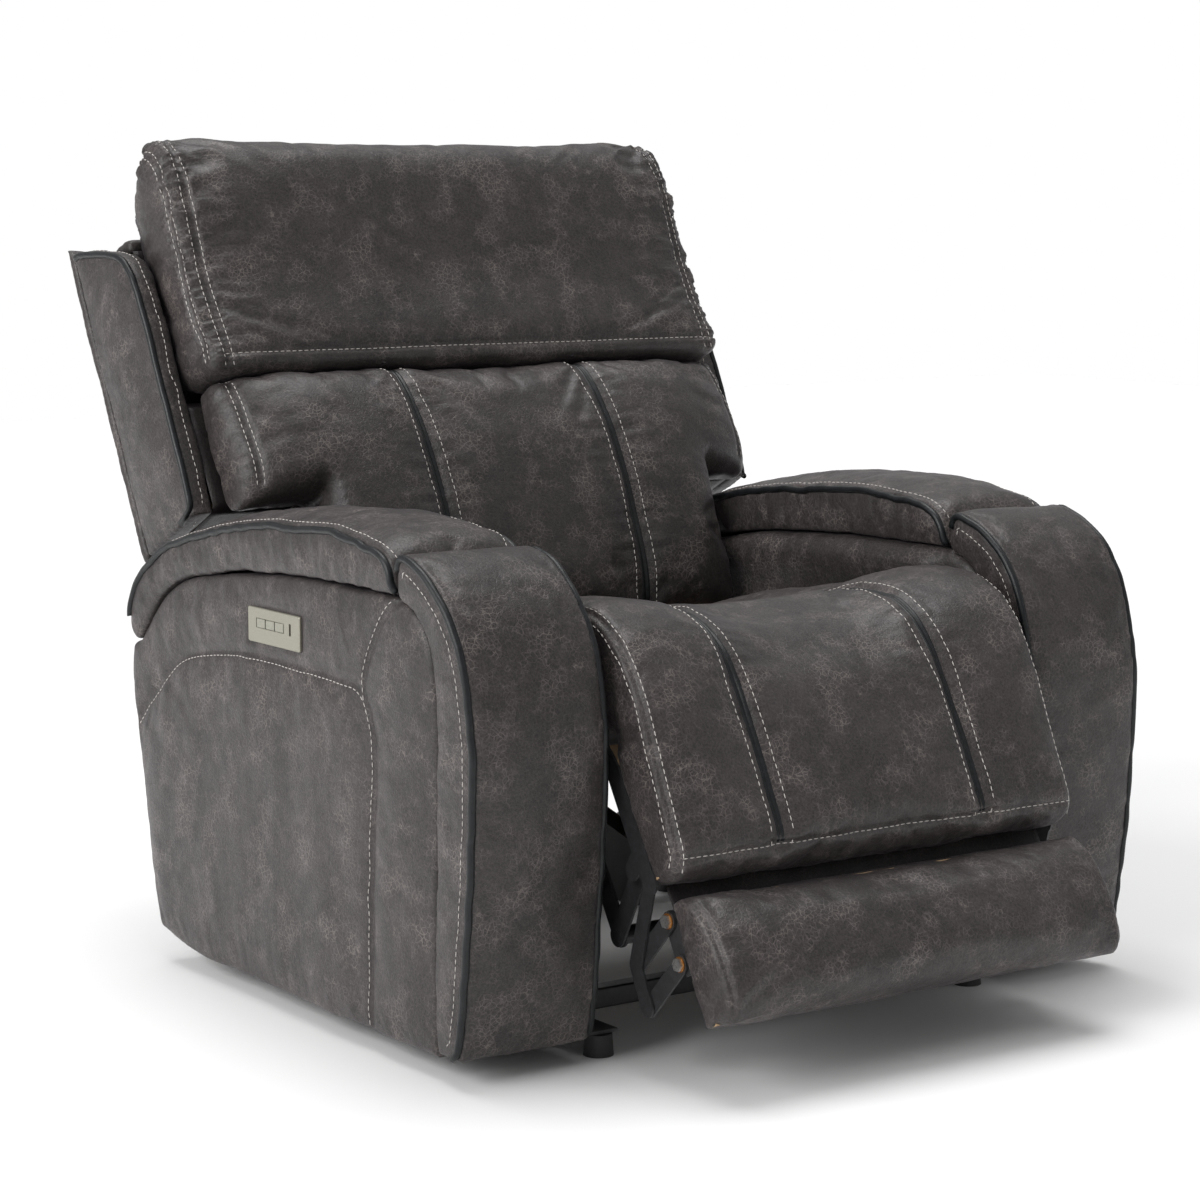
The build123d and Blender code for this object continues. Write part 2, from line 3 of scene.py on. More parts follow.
import bmesh
import bpy
import numpy as np
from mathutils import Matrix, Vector, noise
from mathutils.bvhtree import BVHTree
from mathutils.kdtree import KDTree
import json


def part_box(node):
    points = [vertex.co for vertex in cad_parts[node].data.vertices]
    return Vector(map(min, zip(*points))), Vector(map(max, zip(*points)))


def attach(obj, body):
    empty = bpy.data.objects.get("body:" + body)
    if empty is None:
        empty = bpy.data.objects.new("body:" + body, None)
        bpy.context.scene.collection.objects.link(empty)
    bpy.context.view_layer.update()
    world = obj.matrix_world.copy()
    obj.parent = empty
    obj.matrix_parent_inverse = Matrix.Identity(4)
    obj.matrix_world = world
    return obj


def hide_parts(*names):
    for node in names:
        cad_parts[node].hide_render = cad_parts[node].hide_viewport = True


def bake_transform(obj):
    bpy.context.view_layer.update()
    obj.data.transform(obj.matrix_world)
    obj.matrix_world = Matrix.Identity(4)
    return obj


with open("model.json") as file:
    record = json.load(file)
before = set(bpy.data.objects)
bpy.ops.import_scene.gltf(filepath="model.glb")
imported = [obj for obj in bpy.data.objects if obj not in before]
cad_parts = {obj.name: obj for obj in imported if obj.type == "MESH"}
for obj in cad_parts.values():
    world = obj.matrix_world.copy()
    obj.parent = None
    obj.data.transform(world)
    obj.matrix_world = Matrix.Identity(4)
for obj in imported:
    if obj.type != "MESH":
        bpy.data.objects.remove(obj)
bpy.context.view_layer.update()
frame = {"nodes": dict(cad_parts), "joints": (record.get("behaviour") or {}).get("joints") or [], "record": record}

# A power recliner armchair in distressed hide: padded covers, black welts and pale stitching
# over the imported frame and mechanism. "Right" and "left" are the sitter's: right is -X.

MM = 0.001
SIDES = ((-1, "right"), (1, "left"))
RUN_STEP = 0.006             # spacing of the points along an outline
VOXEL = 0.006                # grid of the padded pieces before they are subdivided
SWELL_FRAMES = 20
STITCH_PITCH, STITCH_LONG, STITCH_THICK = 0.0088, 0.0066, 0.0013
STITCH_OFFSET = 0.0155       # stitch rows from the middle of a welted seam
STITCH_LIFT = 0.0003         # middle of a thread above the hide
STITCH_SIDES, STITCH_RINGS = 6, 4
SEAM_HOLD = 0.6 * VOXEL      # points this near a seam are held while a cover swells
BATCH = 4000                 # points measured against an outline at a time
BOARD_THICK = 18 * MM        # board in the middle of each arm

# ---- places, read from the frame ----
joints = {joint["name"]: joint for joint in frame["joints"]}
knee = Vector(joints["leg_rest_lift"]["pos_m"])
back_hinge = Vector(joints["back_recline"]["pos_m"])
arm_low, arm_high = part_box("arm_pad_left")
ARM_INNER, ARM_OUTER = arm_low.x, arm_high.x
ARM_FRONT_Y = knee.y - 70 * MM
SEAT_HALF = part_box("leg_board")[1].x + 2 * MM
FOOT_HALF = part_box("foot_pad")[1].x - 1 * MM
LUMBAR_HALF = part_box("lumbar_cushion")[1].x
LUMBAR_LOW_HALF = 298 * MM
PILLOW_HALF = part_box("headrest_pillow")[1].x
BACK_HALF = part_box("outside_back")[1].x
SIDE_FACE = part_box("arm_outer_side_left")[1].x
POST_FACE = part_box("back_posts")[1].x
BOARD_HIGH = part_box("arm_boards")[1].x
BOARD_LOW = BOARD_HIGH - BOARD_THICK
LEG_ANGLE, FOOT_ANGLE, BACK_LEAN = (math.radians(a) for a in (32, 27, 28))


def plane_map(origin, first, second):
    """A function that turns pairs of millimetres into points (y, z) of the row frame."""
    def place(points):
        pairs = np.asarray(points, float) * MM
        return np.array(origin) + np.outer(pairs[:, 0], first) + np.outer(pairs[:, 1], second)
    return place


def hanging(angle):
    """Directions down and out of a board that hangs at that angle from the vertical."""
    return (-math.sin(angle), -math.cos(angle)), (-math.cos(angle), math.sin(angle))


side_of = plane_map((ARM_FRONT_Y, 0), (1, 0), (0, 1))
leg_of = plane_map((knee.y, knee.z), *hanging(LEG_ANGLE))
foot_of = plane_map((ARM_FRONT_Y, 0.260), *hanging(FOOT_ANGLE))
back_of = plane_map(
    (back_hinge.y, back_hinge.z),
    (math.sin(BACK_LEAN), math.cos(BACK_LEAN)),
    (-math.cos(BACK_LEAN), math.sin(BACK_LEAN)),
)


# ---- outlines and lines ----
def even(points, step=RUN_STEP):
    """Evenly spaced points along a smooth run through the given ones."""
    p = np.asarray(points, float)
    if len(p) > 2:
        ends = np.vstack([2 * p[0] - p[1], p, 2 * p[-1] - p[-2]])
        t = np.linspace(0, 1, 16, endpoint=False)[:, None]
        parts = []
        for i in range(len(p) - 1):
            a, b, c, d = ends[i:i + 4]
            parts.append(
                0.5 * (2 * b + (c - a) * t + (2 * a - 5 * b + 4 * c - d) * t**2
                       + (3 * b - a - 3 * c + d) * t**3)
            )
        p = np.vstack(parts + [p[-1:]])
    run = np.r_[0, np.cumsum(np.linalg.norm(np.diff(p, axis=0), axis=1))]
    at = np.linspace(0, run[-1], max(2, int(round(run[-1] / step)) + 1))
    return np.column_stack([np.interp(at, run, p[:, k]) for k in range(p.shape[1])])


def closed(*runs):
    """One closed outline from runs that follow each other, counter-clockwise seen from +X."""
    points = np.vstack([even(run)[:-1] for run in runs])
    y, z = points[:, 0], points[:, 1]
    turn = np.sum(y * np.roll(z, -1) - z * np.roll(y, -1))
    return points if turn > 0 else points[::-1]


def along(run, x, inside, step=0.004):
    """Line at one x along a run of the side outline, with its outward directions."""
    p = even(run, step)
    slope = np.gradient(p, axis=0)
    out = np.column_stack([slope[:, 1], -slope[:, 0]])
    away = np.sum(out * (p - np.asarray(inside)), axis=1)
    out = out * (1 if np.sum(away) > 0 else -1)
    out /= np.linalg.norm(out, axis=1)[:, None]
    return np.column_stack([np.full(len(p), x), p]), np.column_stack([np.zeros(len(p)), out])


def on_face(run, x, step=0.004):
    """Line on a side face at x, facing away from the middle."""
    p = even(run, step)
    line = np.column_stack([np.full(len(p), x), p])
    return line, np.tile([math.copysign(1, x), 0, 0], (len(p), 1))


def across(point, out, x0, x1, step=0.004):
    """Line along X through one point of the side view."""
    xs = even([(x0, 0), (x1, 0)], step)[:, 0]
    line = np.column_stack([xs, np.tile(point, (len(xs), 1))])
    facing = np.array([0, *out]) / np.linalg.norm(out)
    return line, np.tile(facing, (len(xs), 1))


# ---- meshes ----
def put(name, verts, faces):
    """A new object in the scene, made from points and faces."""
    mesh = bpy.data.meshes.new(name)
    mesh.from_pydata([tuple(v) for v in verts], [], faces)
    mesh.validate()
    obj = bpy.data.objects.new(name, mesh)
    bpy.context.scene.collection.objects.link(obj)
    return obj


def settle_modifiers(obj):
    """The object's mesh becomes what its modifiers make of it."""
    bpy.context.view_layer.update()
    made = bpy.data.meshes.new_from_object(
        obj.evaluated_get(bpy.context.evaluated_depsgraph_get()))
    obj.modifiers.clear()
    obj.data = made
    made.name = obj.name
    return obj


def points_of(obj):
    """The mesh points as rows of x, y, z."""
    co = np.empty(len(obj.data.vertices) * 3)
    obj.data.vertices.foreach_get("co", co)
    return co.reshape(-1, 3)


def normals_of(obj):
    """The outward direction at each point."""
    out = np.empty(len(obj.data.vertices) * 3)
    obj.data.vertex_normals.foreach_get("vector", out)
    return out.reshape(-1, 3)


def move_to(obj, co):
    """Gives the mesh points new places."""
    obj.data.vertices.foreach_set("co", np.ascontiguousarray(co, np.float32).ravel())
    obj.data.update()


def smooth_shaded(obj):
    obj.data.polygons.foreach_set("use_smooth", [True] * len(obj.data.polygons))
    obj.data.update()
    return obj


def form(name, slabs, voxel=VOXEL, soften=2):
    """Padded form: slabs of (outline, lowest x, highest x) merged on an even grid of faces."""
    verts, faces = [], []
    for outline, x0, x1 in slabs:
        n, base = len(outline), len(verts)
        verts += [(x0, y, z) for y, z in outline] + [(x1, y, z) for y, z in outline]
        faces.append([base + i for i in reversed(range(n))])
        faces.append([base + n + i for i in range(n)])
        faces += [[base + i, base + (i + 1) % n, base + n + (i + 1) % n, base + n + i]
                  for i in range(n)]
    obj = put(name, verts, faces)
    grid = obj.modifiers.new("grid", "REMESH")
    grid.mode = "VOXEL"
    grid.voxel_size = voxel
    if soften:
        relax = obj.modifiers.new("soften", "SMOOTH")
        relax.factor = 0.5
        relax.iterations = soften
    return settle_modifiers(obj)


def from_outline(outline, points):
    """Signed distance from an outline, negative inside, and the direction away from it."""
    a = outline
    b = np.roll(outline, -1, axis=0)
    ab = b - a
    size = np.sum(ab * ab, axis=1)
    far, away = np.empty(len(points)), np.empty((len(points), 2))
    for low in range(0, len(points), BATCH):
        p = points[low:low + BATCH, None, :]
        t = np.clip(np.sum((p - a) * ab, axis=2) / size, 0, 1)
        gap = p - (a + t[..., None] * ab)
        d = np.linalg.norm(gap, axis=2)
        near = np.argmin(d, axis=1)
        rows = np.arange(len(near))
        crossing = (a[:, 1] > p[..., 1]) != (b[:, 1] > p[..., 1])
        rise = np.where(np.abs(ab[:, 1]) < 1e-12, 1e-12, ab[:, 1])
        left = p[..., 0] < a[:, 0] + (p[..., 1] - a[:, 1]) * ab[:, 0] / rise
        inside = np.sum(crossing & left, axis=1) % 2 == 1
        edge = ab[near] / np.sqrt(size[near])[:, None]
        far[low:low + BATCH] = np.where(inside, -d[rows, near], d[rows, near])
        away[low:low + BATCH] = np.column_stack([edge[:, 1], -edge[:, 0]])
    return far, away


def round_sides(obj, outline, x0, x1, radius):
    """Turns the edge between the outline's wall and the side faces over that radius, or radii."""
    co = points_of(obj)
    radius = radius(co) if callable(radius) else radius
    far, away = from_outline(outline, co[:, 1:])
    middle, half = (x0 + x1) / 2, (x1 - x0) / 2
    wall = far + radius
    flank = np.abs(co[:, 0] - middle) - half + radius
    both = (wall > 0) & (flank > 0)
    size = np.hypot(wall, flank)
    fit = np.where(both & (size > radius), radius / np.maximum(size, 1e-9), 1)
    co[:, 0] += np.sign(co[:, 0] - middle) * flank * (fit - 1)
    co[:, 1:] += away * (wall * (fit - 1))[:, None]
    move_to(obj, co)


def subdivide(obj):
    """One level of subdivision, made real."""
    finer = obj.modifiers.new("finer", "SUBSURF")
    finer.levels = finer.render_levels = 1
    return settle_modifiers(obj)


def nearest(co, lines):
    """Distance from each point to the nearest line, and how far along it that is."""
    spots = np.vstack([line[0] for line in lines])
    runs, start = [], 0.0
    for line in lines:
        steps = np.linalg.norm(np.diff(line[0], axis=0), axis=1)
        run = start + np.r_[0, np.cumsum(steps)]
        runs.append(run)
        start = run[-1] + 1.0
    runs = np.concatenate(runs)
    tree = KDTree(len(spots))
    for i, spot in enumerate(spots):
        tree.insert(spot, i)
    tree.balance()
    found = [tree.find(p) for p in co]
    return np.array([f[2] for f in found]), runs[[f[1] for f in found]]


def swell(obj, lines, cap, pressure=4.0, hold=None, slack=0.0):
    """Fills the cover by cloth simulation, held down along its seams and where hold says."""
    co = points_of(obj)
    held = nearest(co, lines)[0] < SEAM_HOLD if lines else np.zeros(len(co), bool)
    if hold is not None:
        held |= hold(co)
    group = obj.vertex_groups.new(name="held")
    group.add([int(i) for i in np.nonzero(held)[0]], 1.0, "REPLACE")
    cloth = obj.modifiers.new("Cloth", "CLOTH")
    settings = cloth.settings
    settings.quality = 4
    settings.mass = 0.3
    settings.use_pressure = True
    settings.uniform_pressure_force = pressure
    settings.effector_weights.gravity = 0
    settings.vertex_group_mass = "held"
    settings.shrink_min = -slack
    cloth.collision_settings.use_collision = False
    cloth.point_cache.frame_start = 1
    cloth.point_cache.frame_end = SWELL_FRAMES
    scene = bpy.context.scene
    for number in range(1, SWELL_FRAMES + 1):
        scene.frame_set(number)
    bpy.context.view_layer.update()
    blown = obj.evaluated_get(bpy.context.evaluated_depsgraph_get()).to_mesh()
    new = np.empty(len(blown.vertices) * 3)
    blown.vertices.foreach_get("co", new)
    step = new.reshape(-1, 3) - co
    length = np.linalg.norm(step, axis=1)
    share = np.where(length > 1e-9, cap * np.tanh(length / cap) / np.maximum(length, 1e-9), 0)
    obj.modifiers.clear()
    obj.vertex_groups.clear()
    scene.frame_set(1)
    move_to(obj, co + step * share[:, None])


def settle(obj, lines, reach=0.035):
    """The lines brought onto the surface, with the surface's own directions outwards."""
    bpy.context.view_layer.update()
    tree = BVHTree.FromObject(obj, bpy.context.evaluated_depsgraph_get())
    laid = []
    for points, outward in lines:
        spots, ups = [], []
        for p, n in zip(points, outward):
            p, n = Vector(p), Vector(n)
            hit, up = tree.ray_cast(p + n * reach, -n, 2.2 * reach)[:2]
            if hit is None or up.dot(n) < 0:
                hit, up = tree.find_nearest(p)[:2]
            spots.append(hit)
            ups.append(up)
        spots, ups = np.array(spots), np.array(ups)
        for _ in range(3):
            spots[1:-1] = (spots[:-2] + 2 * spots[1:-1] + spots[2:]) / 4
            ups[1:-1] = (ups[:-2] + 2 * ups[1:-1] + ups[2:]) / 4
        ups /= np.linalg.norm(ups, axis=1)[:, None]
        laid.append((spots, ups))
    return laid


def beside(obj, lines, offset, lift=0.0, reach=0.02):
    """Lines that run next to others on the surface, at that distance to one side."""
    moved = []
    for spots, ups in lines:
        way = np.gradient(spots, axis=0)
        way /= np.maximum(np.linalg.norm(way, axis=1), 1e-9)[:, None]
        moved.append((spots + np.cross(way, ups) * offset, ups))
    return [(p + n * lift, n) for p, n in settle(obj, moved, reach)]


def both_sides(obj, lines, offset):
    """A pair of rows, one on each side of every line."""
    return beside(obj, lines, offset) + beside(obj, lines, -offset)


def crease(obj, lines, depth, width, pucker=0.0, gather=0.014, spread=0.022, seed=1.0):
    """Presses seams into the cover and gathers it a little on both sides of them."""
    co, up = points_of(obj), normals_of(obj)
    far, run = nearest(co, lines)
    push = -depth * np.exp(-(far / width) ** 2)
    if pucker:
        close = np.nonzero(far < 3 * spread)[0]
        waves = np.array([noise.noise(Vector((run[i] / gather, seed, far[i] / 0.05)))
                          for i in close])
        fade = (far[close] / spread) * np.exp(1 - far[close] / spread)
        push[close] += pucker * waves * fade
    move_to(obj, co + up * push[:, None])


def uneven(obj, amount, size, seed=0.0, stretch=(1, 1, 1)):
    """Slow hand-made unevenness of a cover."""
    co, up = points_of(obj), normals_of(obj)
    at = co * (np.array(stretch) / size) + seed
    push = np.array([noise.noise(Vector(p)) for p in at])
    move_to(obj, co + up * (amount * push)[:, None])


def swept(name, lines, section):
    """Closed strips with that cross-section: pairs of (sideways, outwards) in millimetres."""
    verts, faces = [], []
    shape = np.asarray(section, float) * MM
    n = len(shape)
    for spots, ups in lines:
        way = np.gradient(spots, axis=0)
        way /= np.maximum(np.linalg.norm(way, axis=1), 1e-9)[:, None]
        over = np.cross(way, ups)
        base = len(verts)
        for p, s, u in zip(spots, over, ups):
            verts += [p + s * a + u * b for a, b in shape]
        for i in range(len(spots) - 1):
            low = base + i * n
            faces += [[low + k, low + (k + 1) % n, low + n + (k + 1) % n, low + n + k]
                      for k in range(n)]
        last = base + (len(spots) - 1) * n
        faces.append([base + k for k in reversed(range(n))])
        faces.append([last + k for k in range(n)])
    obj = put(name, verts, faces)
    mesh = bmesh.new()
    mesh.from_mesh(obj.data)
    bmesh.ops.recalc_face_normals(mesh, faces=mesh.faces)
    mesh.to_mesh(obj.data)
    mesh.free()
    return smooth_shaded(obj)


WELT_STRIP = [(-6.2, -1.5), (-6.0, 0.6), (-4.6, 1.7), (-2.6, 1.6), (-0.9, 0.5), (0, 0.1),
              (0.9, 0.5), (2.6, 1.6), (4.6, 1.7), (6.0, 0.6), (6.2, -1.5)]
PIPING_R, PIPING_LIFT, PIPING_SIDES = 4.6, 1.4, 12
PIPING = [(PIPING_R * math.cos(a), PIPING_LIFT + PIPING_R * math.sin(a))
          for a in np.linspace(0, 2 * math.pi, PIPING_SIDES + 1)[:-1]]


# ---- finishes ----
class Finish:
    """A node material under construction."""

    def __init__(self, name):
        self.material = bpy.data.materials.new(name)
        self.material.use_nodes = True
        self.tree = self.material.node_tree
        self.shader = self.tree.nodes["Principled BSDF"]
        self.place = self.node("ShaderNodeTexCoord").outputs["Object"]

    def node(self, kind, values=(), **settings):
        made = self.tree.nodes.new(kind)
        for key, value in settings.items():
            setattr(made, key, value)
        for socket, value in dict(values).items():
            made.inputs[socket].default_value = value
        return made

    def link(self, output, socket):
        self.tree.links.new(output, socket)

    def noise(self, scale, detail=4, roughness=0.55, distortion=0.0, at=None):
        made = self.node("ShaderNodeTexNoise", {"Scale": scale, "Detail": detail,
                                                "Roughness": roughness, "Distortion": distortion})
        self.link(at or self.place, made.inputs["Vector"])
        return made.outputs["Fac"]

    def cells(self, scale, feature="F1", at=None):
        made = self.node("ShaderNodeTexVoronoi", {"Scale": scale}, feature=feature)
        self.link(at or self.place, made.inputs["Vector"])
        return made.outputs["Distance"]

    def ramp(self, factor, *stops):
        made = self.node("ShaderNodeValToRGB")
        points = made.color_ramp.elements
        while len(points) < len(stops):
            points.new(0.5)
        for point, (at, colour) in zip(points, stops):
            point.position = at
            point.color = (*colour, 1) if len(colour) == 3 else colour
        self.link(factor, made.inputs["Fac"])
        return made.outputs["Color"]

    def mix(self, factor, a, b):
        made = self.node("ShaderNodeMix", data_type="RGBA")
        for value, socket in ((factor, made.inputs[0]), (a, made.inputs[6]), (b, made.inputs[7])):
            if isinstance(value, bpy.types.NodeSocket):
                self.link(value, socket)
            else:
                socket.default_value = value
        return made.outputs[2]

    def math(self, how, a, b=0.0):
        made = self.node("ShaderNodeMath", operation=how)
        for value, socket in ((a, made.inputs[0]), (b, made.inputs[1])):
            if isinstance(value, bpy.types.NodeSocket):
                self.link(value, socket)
            else:
                socket.default_value = value
        return made.outputs[0]

    def spread(self, factor, low, high, from_low=0.0, from_high=1.0):
        made = self.node("ShaderNodeMapRange", {"From Min": from_low, "From Max": from_high,
                                                "To Min": low, "To Max": high})
        self.link(factor, made.inputs["Value"])
        return made.outputs["Result"]

    def bump(self, height, distance, strength=1.0, after=None, sunk=False):
        made = self.node("ShaderNodeBump", {"Strength": strength, "Distance": distance}, invert=sunk)
        self.link(height, made.inputs["Height"])
        if after:
            self.link(after, made.inputs["Normal"])
        return made.outputs["Normal"]

    def finish(self, colour=None, roughness=None, normal=None, **fixed):
        for value, name in ((colour, "Base Color"), (roughness, "Roughness"), (normal, "Normal")):
            if isinstance(value, bpy.types.NodeSocket):
                self.link(value, self.shader.inputs[name])
            elif value is not None:
                self.shader.inputs[name].default_value = value
        for name, value in fixed.items():
            self.shader.inputs[name.replace("_", " ").title().replace("Ior",
                                                                      "IOR")].default_value = value
        return self.material


def hide(name, dark, middle, pale, vein, shine=0.36):
    """Distressed hide: brown-grey blotches, pale crackle and fine pebble grain."""
    f = Finish(name)
    warp = f.node("ShaderNodeTexNoise", {"Scale": 60.0, "Detail": 4.0})
    f.link(f.place, warp.inputs["Vector"])
    bent = f.node("ShaderNodeVectorMath", operation="MULTIPLY_ADD")
    f.link(warp.outputs["Color"], bent.inputs[0])
    bent.inputs[1].default_value = (0.012, 0.012, 0.012)
    f.link(f.place, bent.inputs[2])
    patch = f.noise(scale=9.0, detail=3, roughness=0.5)
    blotch = f.noise(scale=42.0, detail=7, roughness=0.70, distortion=0.4)
    speck = f.noise(scale=360.0, detail=5, roughness=0.70)
    tone = f.math("ADD", f.math("MULTIPLY", patch, 0.18),
                  f.math("ADD", f.math("MULTIPLY", blotch, 0.26), f.math("MULTIPLY", speck, 0.56)))
    colour = f.ramp(tone, (0.37, dark), (0.50, middle), (0.64, pale))
    cracks = f.cells(scale=150.0, feature="DISTANCE_TO_EDGE", at=bent.outputs[0])
    fine = f.cells(scale=300.0, feature="DISTANCE_TO_EDGE", at=bent.outputs[0])
    lines = f.math("MAXIMUM", f.spread(cracks, low=1.0, high=0.0, from_low=0.0, from_high=0.10),
                   f.spread(fine, low=0.34, high=0.0, from_low=0.0, from_high=0.20))
    worn = f.spread(f.noise(scale=20.0, detail=6, roughness=0.70), low=0.10, high=1.0,
                    from_low=0.48, from_high=0.62)
    colour = f.mix(f.math("MULTIPLY", lines, worn), colour, (*vein, 1))
    pebble = f.cells(scale=520.0, feature="F1", at=bent.outputs[0])
    grain = f.bump(pebble, distance=0.00035, strength=0.55)
    grain = f.bump(lines, distance=0.0004, strength=0.40, after=grain, sunk=True)
    grain = f.bump(f.noise(scale=60.0, detail=5, roughness=0.6), distance=0.0016, strength=0.35,
                   after=grain)
    rough = f.spread(tone, low=0.50, high=0.36, from_low=0.38, from_high=0.62)
    return f.finish(colour, rough, grain, sheen_weight=0.04, sheen_roughness=0.4,
                    sheen_tint=(0.82, 0.77, 0.88, 1), coat_weight=0.08, coat_roughness=0.30,
                    specular_ior_level=shine)


hide_main = hide("distressed_hide", dark=(0.0120, 0.0097, 0.0097), middle=(0.0325, 0.0268, 0.0268),
                 pale=(0.062, 0.0520, 0.0512), vein=(0.150, 0.129, 0.120))
# Darker, duller copy of the hide: painted shade, for the deck cloth behind the cushions and the flap in the gap
# under the leg pad
hide_painted_shade = hide("shaded_hide", dark=(0.009, 0.0078, 0.0076), middle=(0.020, 0.0172, 0.0170),
                 pale=(0.036, 0.031, 0.030), vein=(0.055, 0.047, 0.045), shine=0.2)


def plain_grain(name, colour, second, roughness, scale, bump, **fixed):
    """Evenly grained or cast surface in two close tones."""
    f = Finish(name)
    tone = f.ramp(f.noise(scale=scale, detail=5, roughness=0.6), (0.35, colour), (0.70, second))
    rough = f.spread(f.noise(scale=scale * 2.3, detail=4, roughness=0.6), low=roughness - 0.08,
                     high=roughness + 0.10, from_low=0.3, from_high=0.7)
    normal = f.bump(f.noise(scale=scale * 5.0, detail=3, roughness=0.55), distance=bump, strength=0.5)
    return f.finish(tone, rough, normal, **fixed)


welt_black = plain_grain("welt_black", colour=(0.0045, 0.0055, 0.0062),
                         second=(0.011, 0.013, 0.0145), roughness=0.40,
                         scale=160.0, bump=0.0003, coat_weight=0.12, coat_roughness=0.25,
                         specular_ior_level=0.3)
lining = plain_grain("black_lining", colour=(0.010, 0.010, 0.010), second=(0.020, 0.019, 0.019),
                     roughness=0.85, scale=400.0, bump=0.0004)
thread = plain_grain("pale_thread", colour=(0.46, 0.43, 0.40), second=(0.66, 0.63, 0.60),
                     roughness=0.70, scale=900.0, bump=0.0002,
                     sheen_weight=0.2)
steel_black = plain_grain("black_paint", colour=(0.012, 0.012, 0.013),
                          second=(0.024, 0.024, 0.026), roughness=0.42, scale=120.0,
                          bump=0.00012, coat_weight=0.3, coat_roughness=0.3)
spring_grey = plain_grain("spring_steel", colour=(0.20, 0.20, 0.21), second=(0.34, 0.34, 0.35),
                          roughness=0.38, scale=300.0,
                          bump=0.00008, metallic=1.0)
zinc = plain_grain("zinc_plate", colour=(0.50, 0.50, 0.49), second=(0.70, 0.70, 0.68),
                   roughness=0.32, scale=260.0, bump=0.00006,
                   metallic=1.0)
bronze = plain_grain("bronze_washer", colour=(0.42, 0.17, 0.045), second=(0.62, 0.29, 0.09),
                     roughness=0.40, scale=260.0, bump=0.00006,
                     metallic=1.0)
plate_metal = plain_grain("champagne_metal", colour=(0.30, 0.29, 0.235),
                          second=(0.36, 0.35, 0.285), roughness=0.36, scale=500.0,
                          bump=0.00003, metallic=0.6)
button_cap = plain_grain("button_cap", colour=(0.27, 0.265, 0.215), second=(0.32, 0.315, 0.26),
                         roughness=0.36, scale=300.0,
                         bump=0.00003, metallic=0.3)
plastic_black = plain_grain("moulded_black", colour=(0.014, 0.014, 0.014),
                            second=(0.024, 0.024, 0.024), roughness=0.55,
                            scale=700.0, bump=0.00008)


def sawn_wood():
    """Pale plywood with long grain."""
    f = Finish("sawn_wood")
    stretch = f.node("ShaderNodeMapping", {"Scale": (1.0, 9.0, 1.4)})
    f.link(f.place, stretch.inputs["Vector"])
    grain = f.noise(scale=14.0, detail=6, roughness=0.65, distortion=1.2, at=stretch.outputs["Vector"])
    colour = f.ramp(grain, (0.30, (0.30, 0.19, 0.10)), (0.72, (0.52, 0.37, 0.22)))
    return f.finish(colour, f.spread(grain, low=0.62, high=0.78),
                    f.bump(grain, distance=0.0003, strength=0.4))


wood = sawn_wood()

# ---- stitching, by Geometry Nodes ----


def stitch_tree():
    """Lays one thread stitch after another along every edge chain of its input."""
    tree = bpy.data.node_groups.new("stitch_rows", "GeometryNodeTree")
    face = tree.interface
    face.new_socket("Rows", in_out="INPUT", socket_type="NodeSocketGeometry")
    sizes = {}
    for name, value in (("Pitch", STITCH_PITCH), ("Long", STITCH_LONG), ("Thick", STITCH_THICK)):
        socket = face.new_socket(name, in_out="INPUT", socket_type="NodeSocketFloat")
        socket.default_value = value
        sizes[name] = socket.identifier
    finish_in = face.new_socket("Thread", in_out="INPUT", socket_type="NodeSocketMaterial")
    sizes["Thread"] = finish_in.identifier
    face.new_socket("Stitches", in_out="OUTPUT", socket_type="NodeSocketGeometry")
    add, join = tree.nodes.new, tree.links.new
    start, end = add("NodeGroupInput"), add("NodeGroupOutput")
    curve, spaced = add("GeometryNodeMeshToCurve"), add("GeometryNodeResampleCurve")
    spaced.mode = "LENGTH"
    ball = add("GeometryNodeMeshUVSphere")
    ball.inputs["Segments"].default_value = STITCH_SIDES
    ball.inputs["Rings"].default_value = STITCH_RINGS
    ball.inputs["Radius"].default_value = 0.5
    lay, turn, tangent = (add("GeometryNodeInstanceOnPoints"),
                          add("FunctionNodeAlignRotationToVector"), add("GeometryNodeInputTangent"))
    turn.axis = "Z"
    size = add("ShaderNodeCombineXYZ")
    real, paint = add("GeometryNodeRealizeInstances"), add("GeometryNodeSetMaterial")
    join(start.outputs["Rows"], curve.inputs["Mesh"])
    join(curve.outputs["Curve"], spaced.inputs["Curve"])
    join(start.outputs["Pitch"], spaced.inputs["Length"])
    join(spaced.outputs["Curve"], lay.inputs["Points"])
    join(ball.outputs["Mesh"], lay.inputs["Instance"])
    join(tangent.outputs["Tangent"], turn.inputs["Vector"])
    join(turn.outputs["Rotation"], lay.inputs["Rotation"])
    for axis, name in (("X", "Thick"), ("Y", "Thick"), ("Z", "Long")):
        join(start.outputs[name], size.inputs[axis])
    join(size.outputs["Vector"], lay.inputs["Scale"])
    join(lay.outputs["Instances"], real.inputs["Geometry"])
    join(real.outputs["Geometry"], paint.inputs["Geometry"])
    join(start.outputs["Thread"], paint.inputs["Material"])
    join(paint.outputs["Geometry"], end.inputs["Stitches"])
    return tree, sizes


stitching, stitch_sizes = stitch_tree()


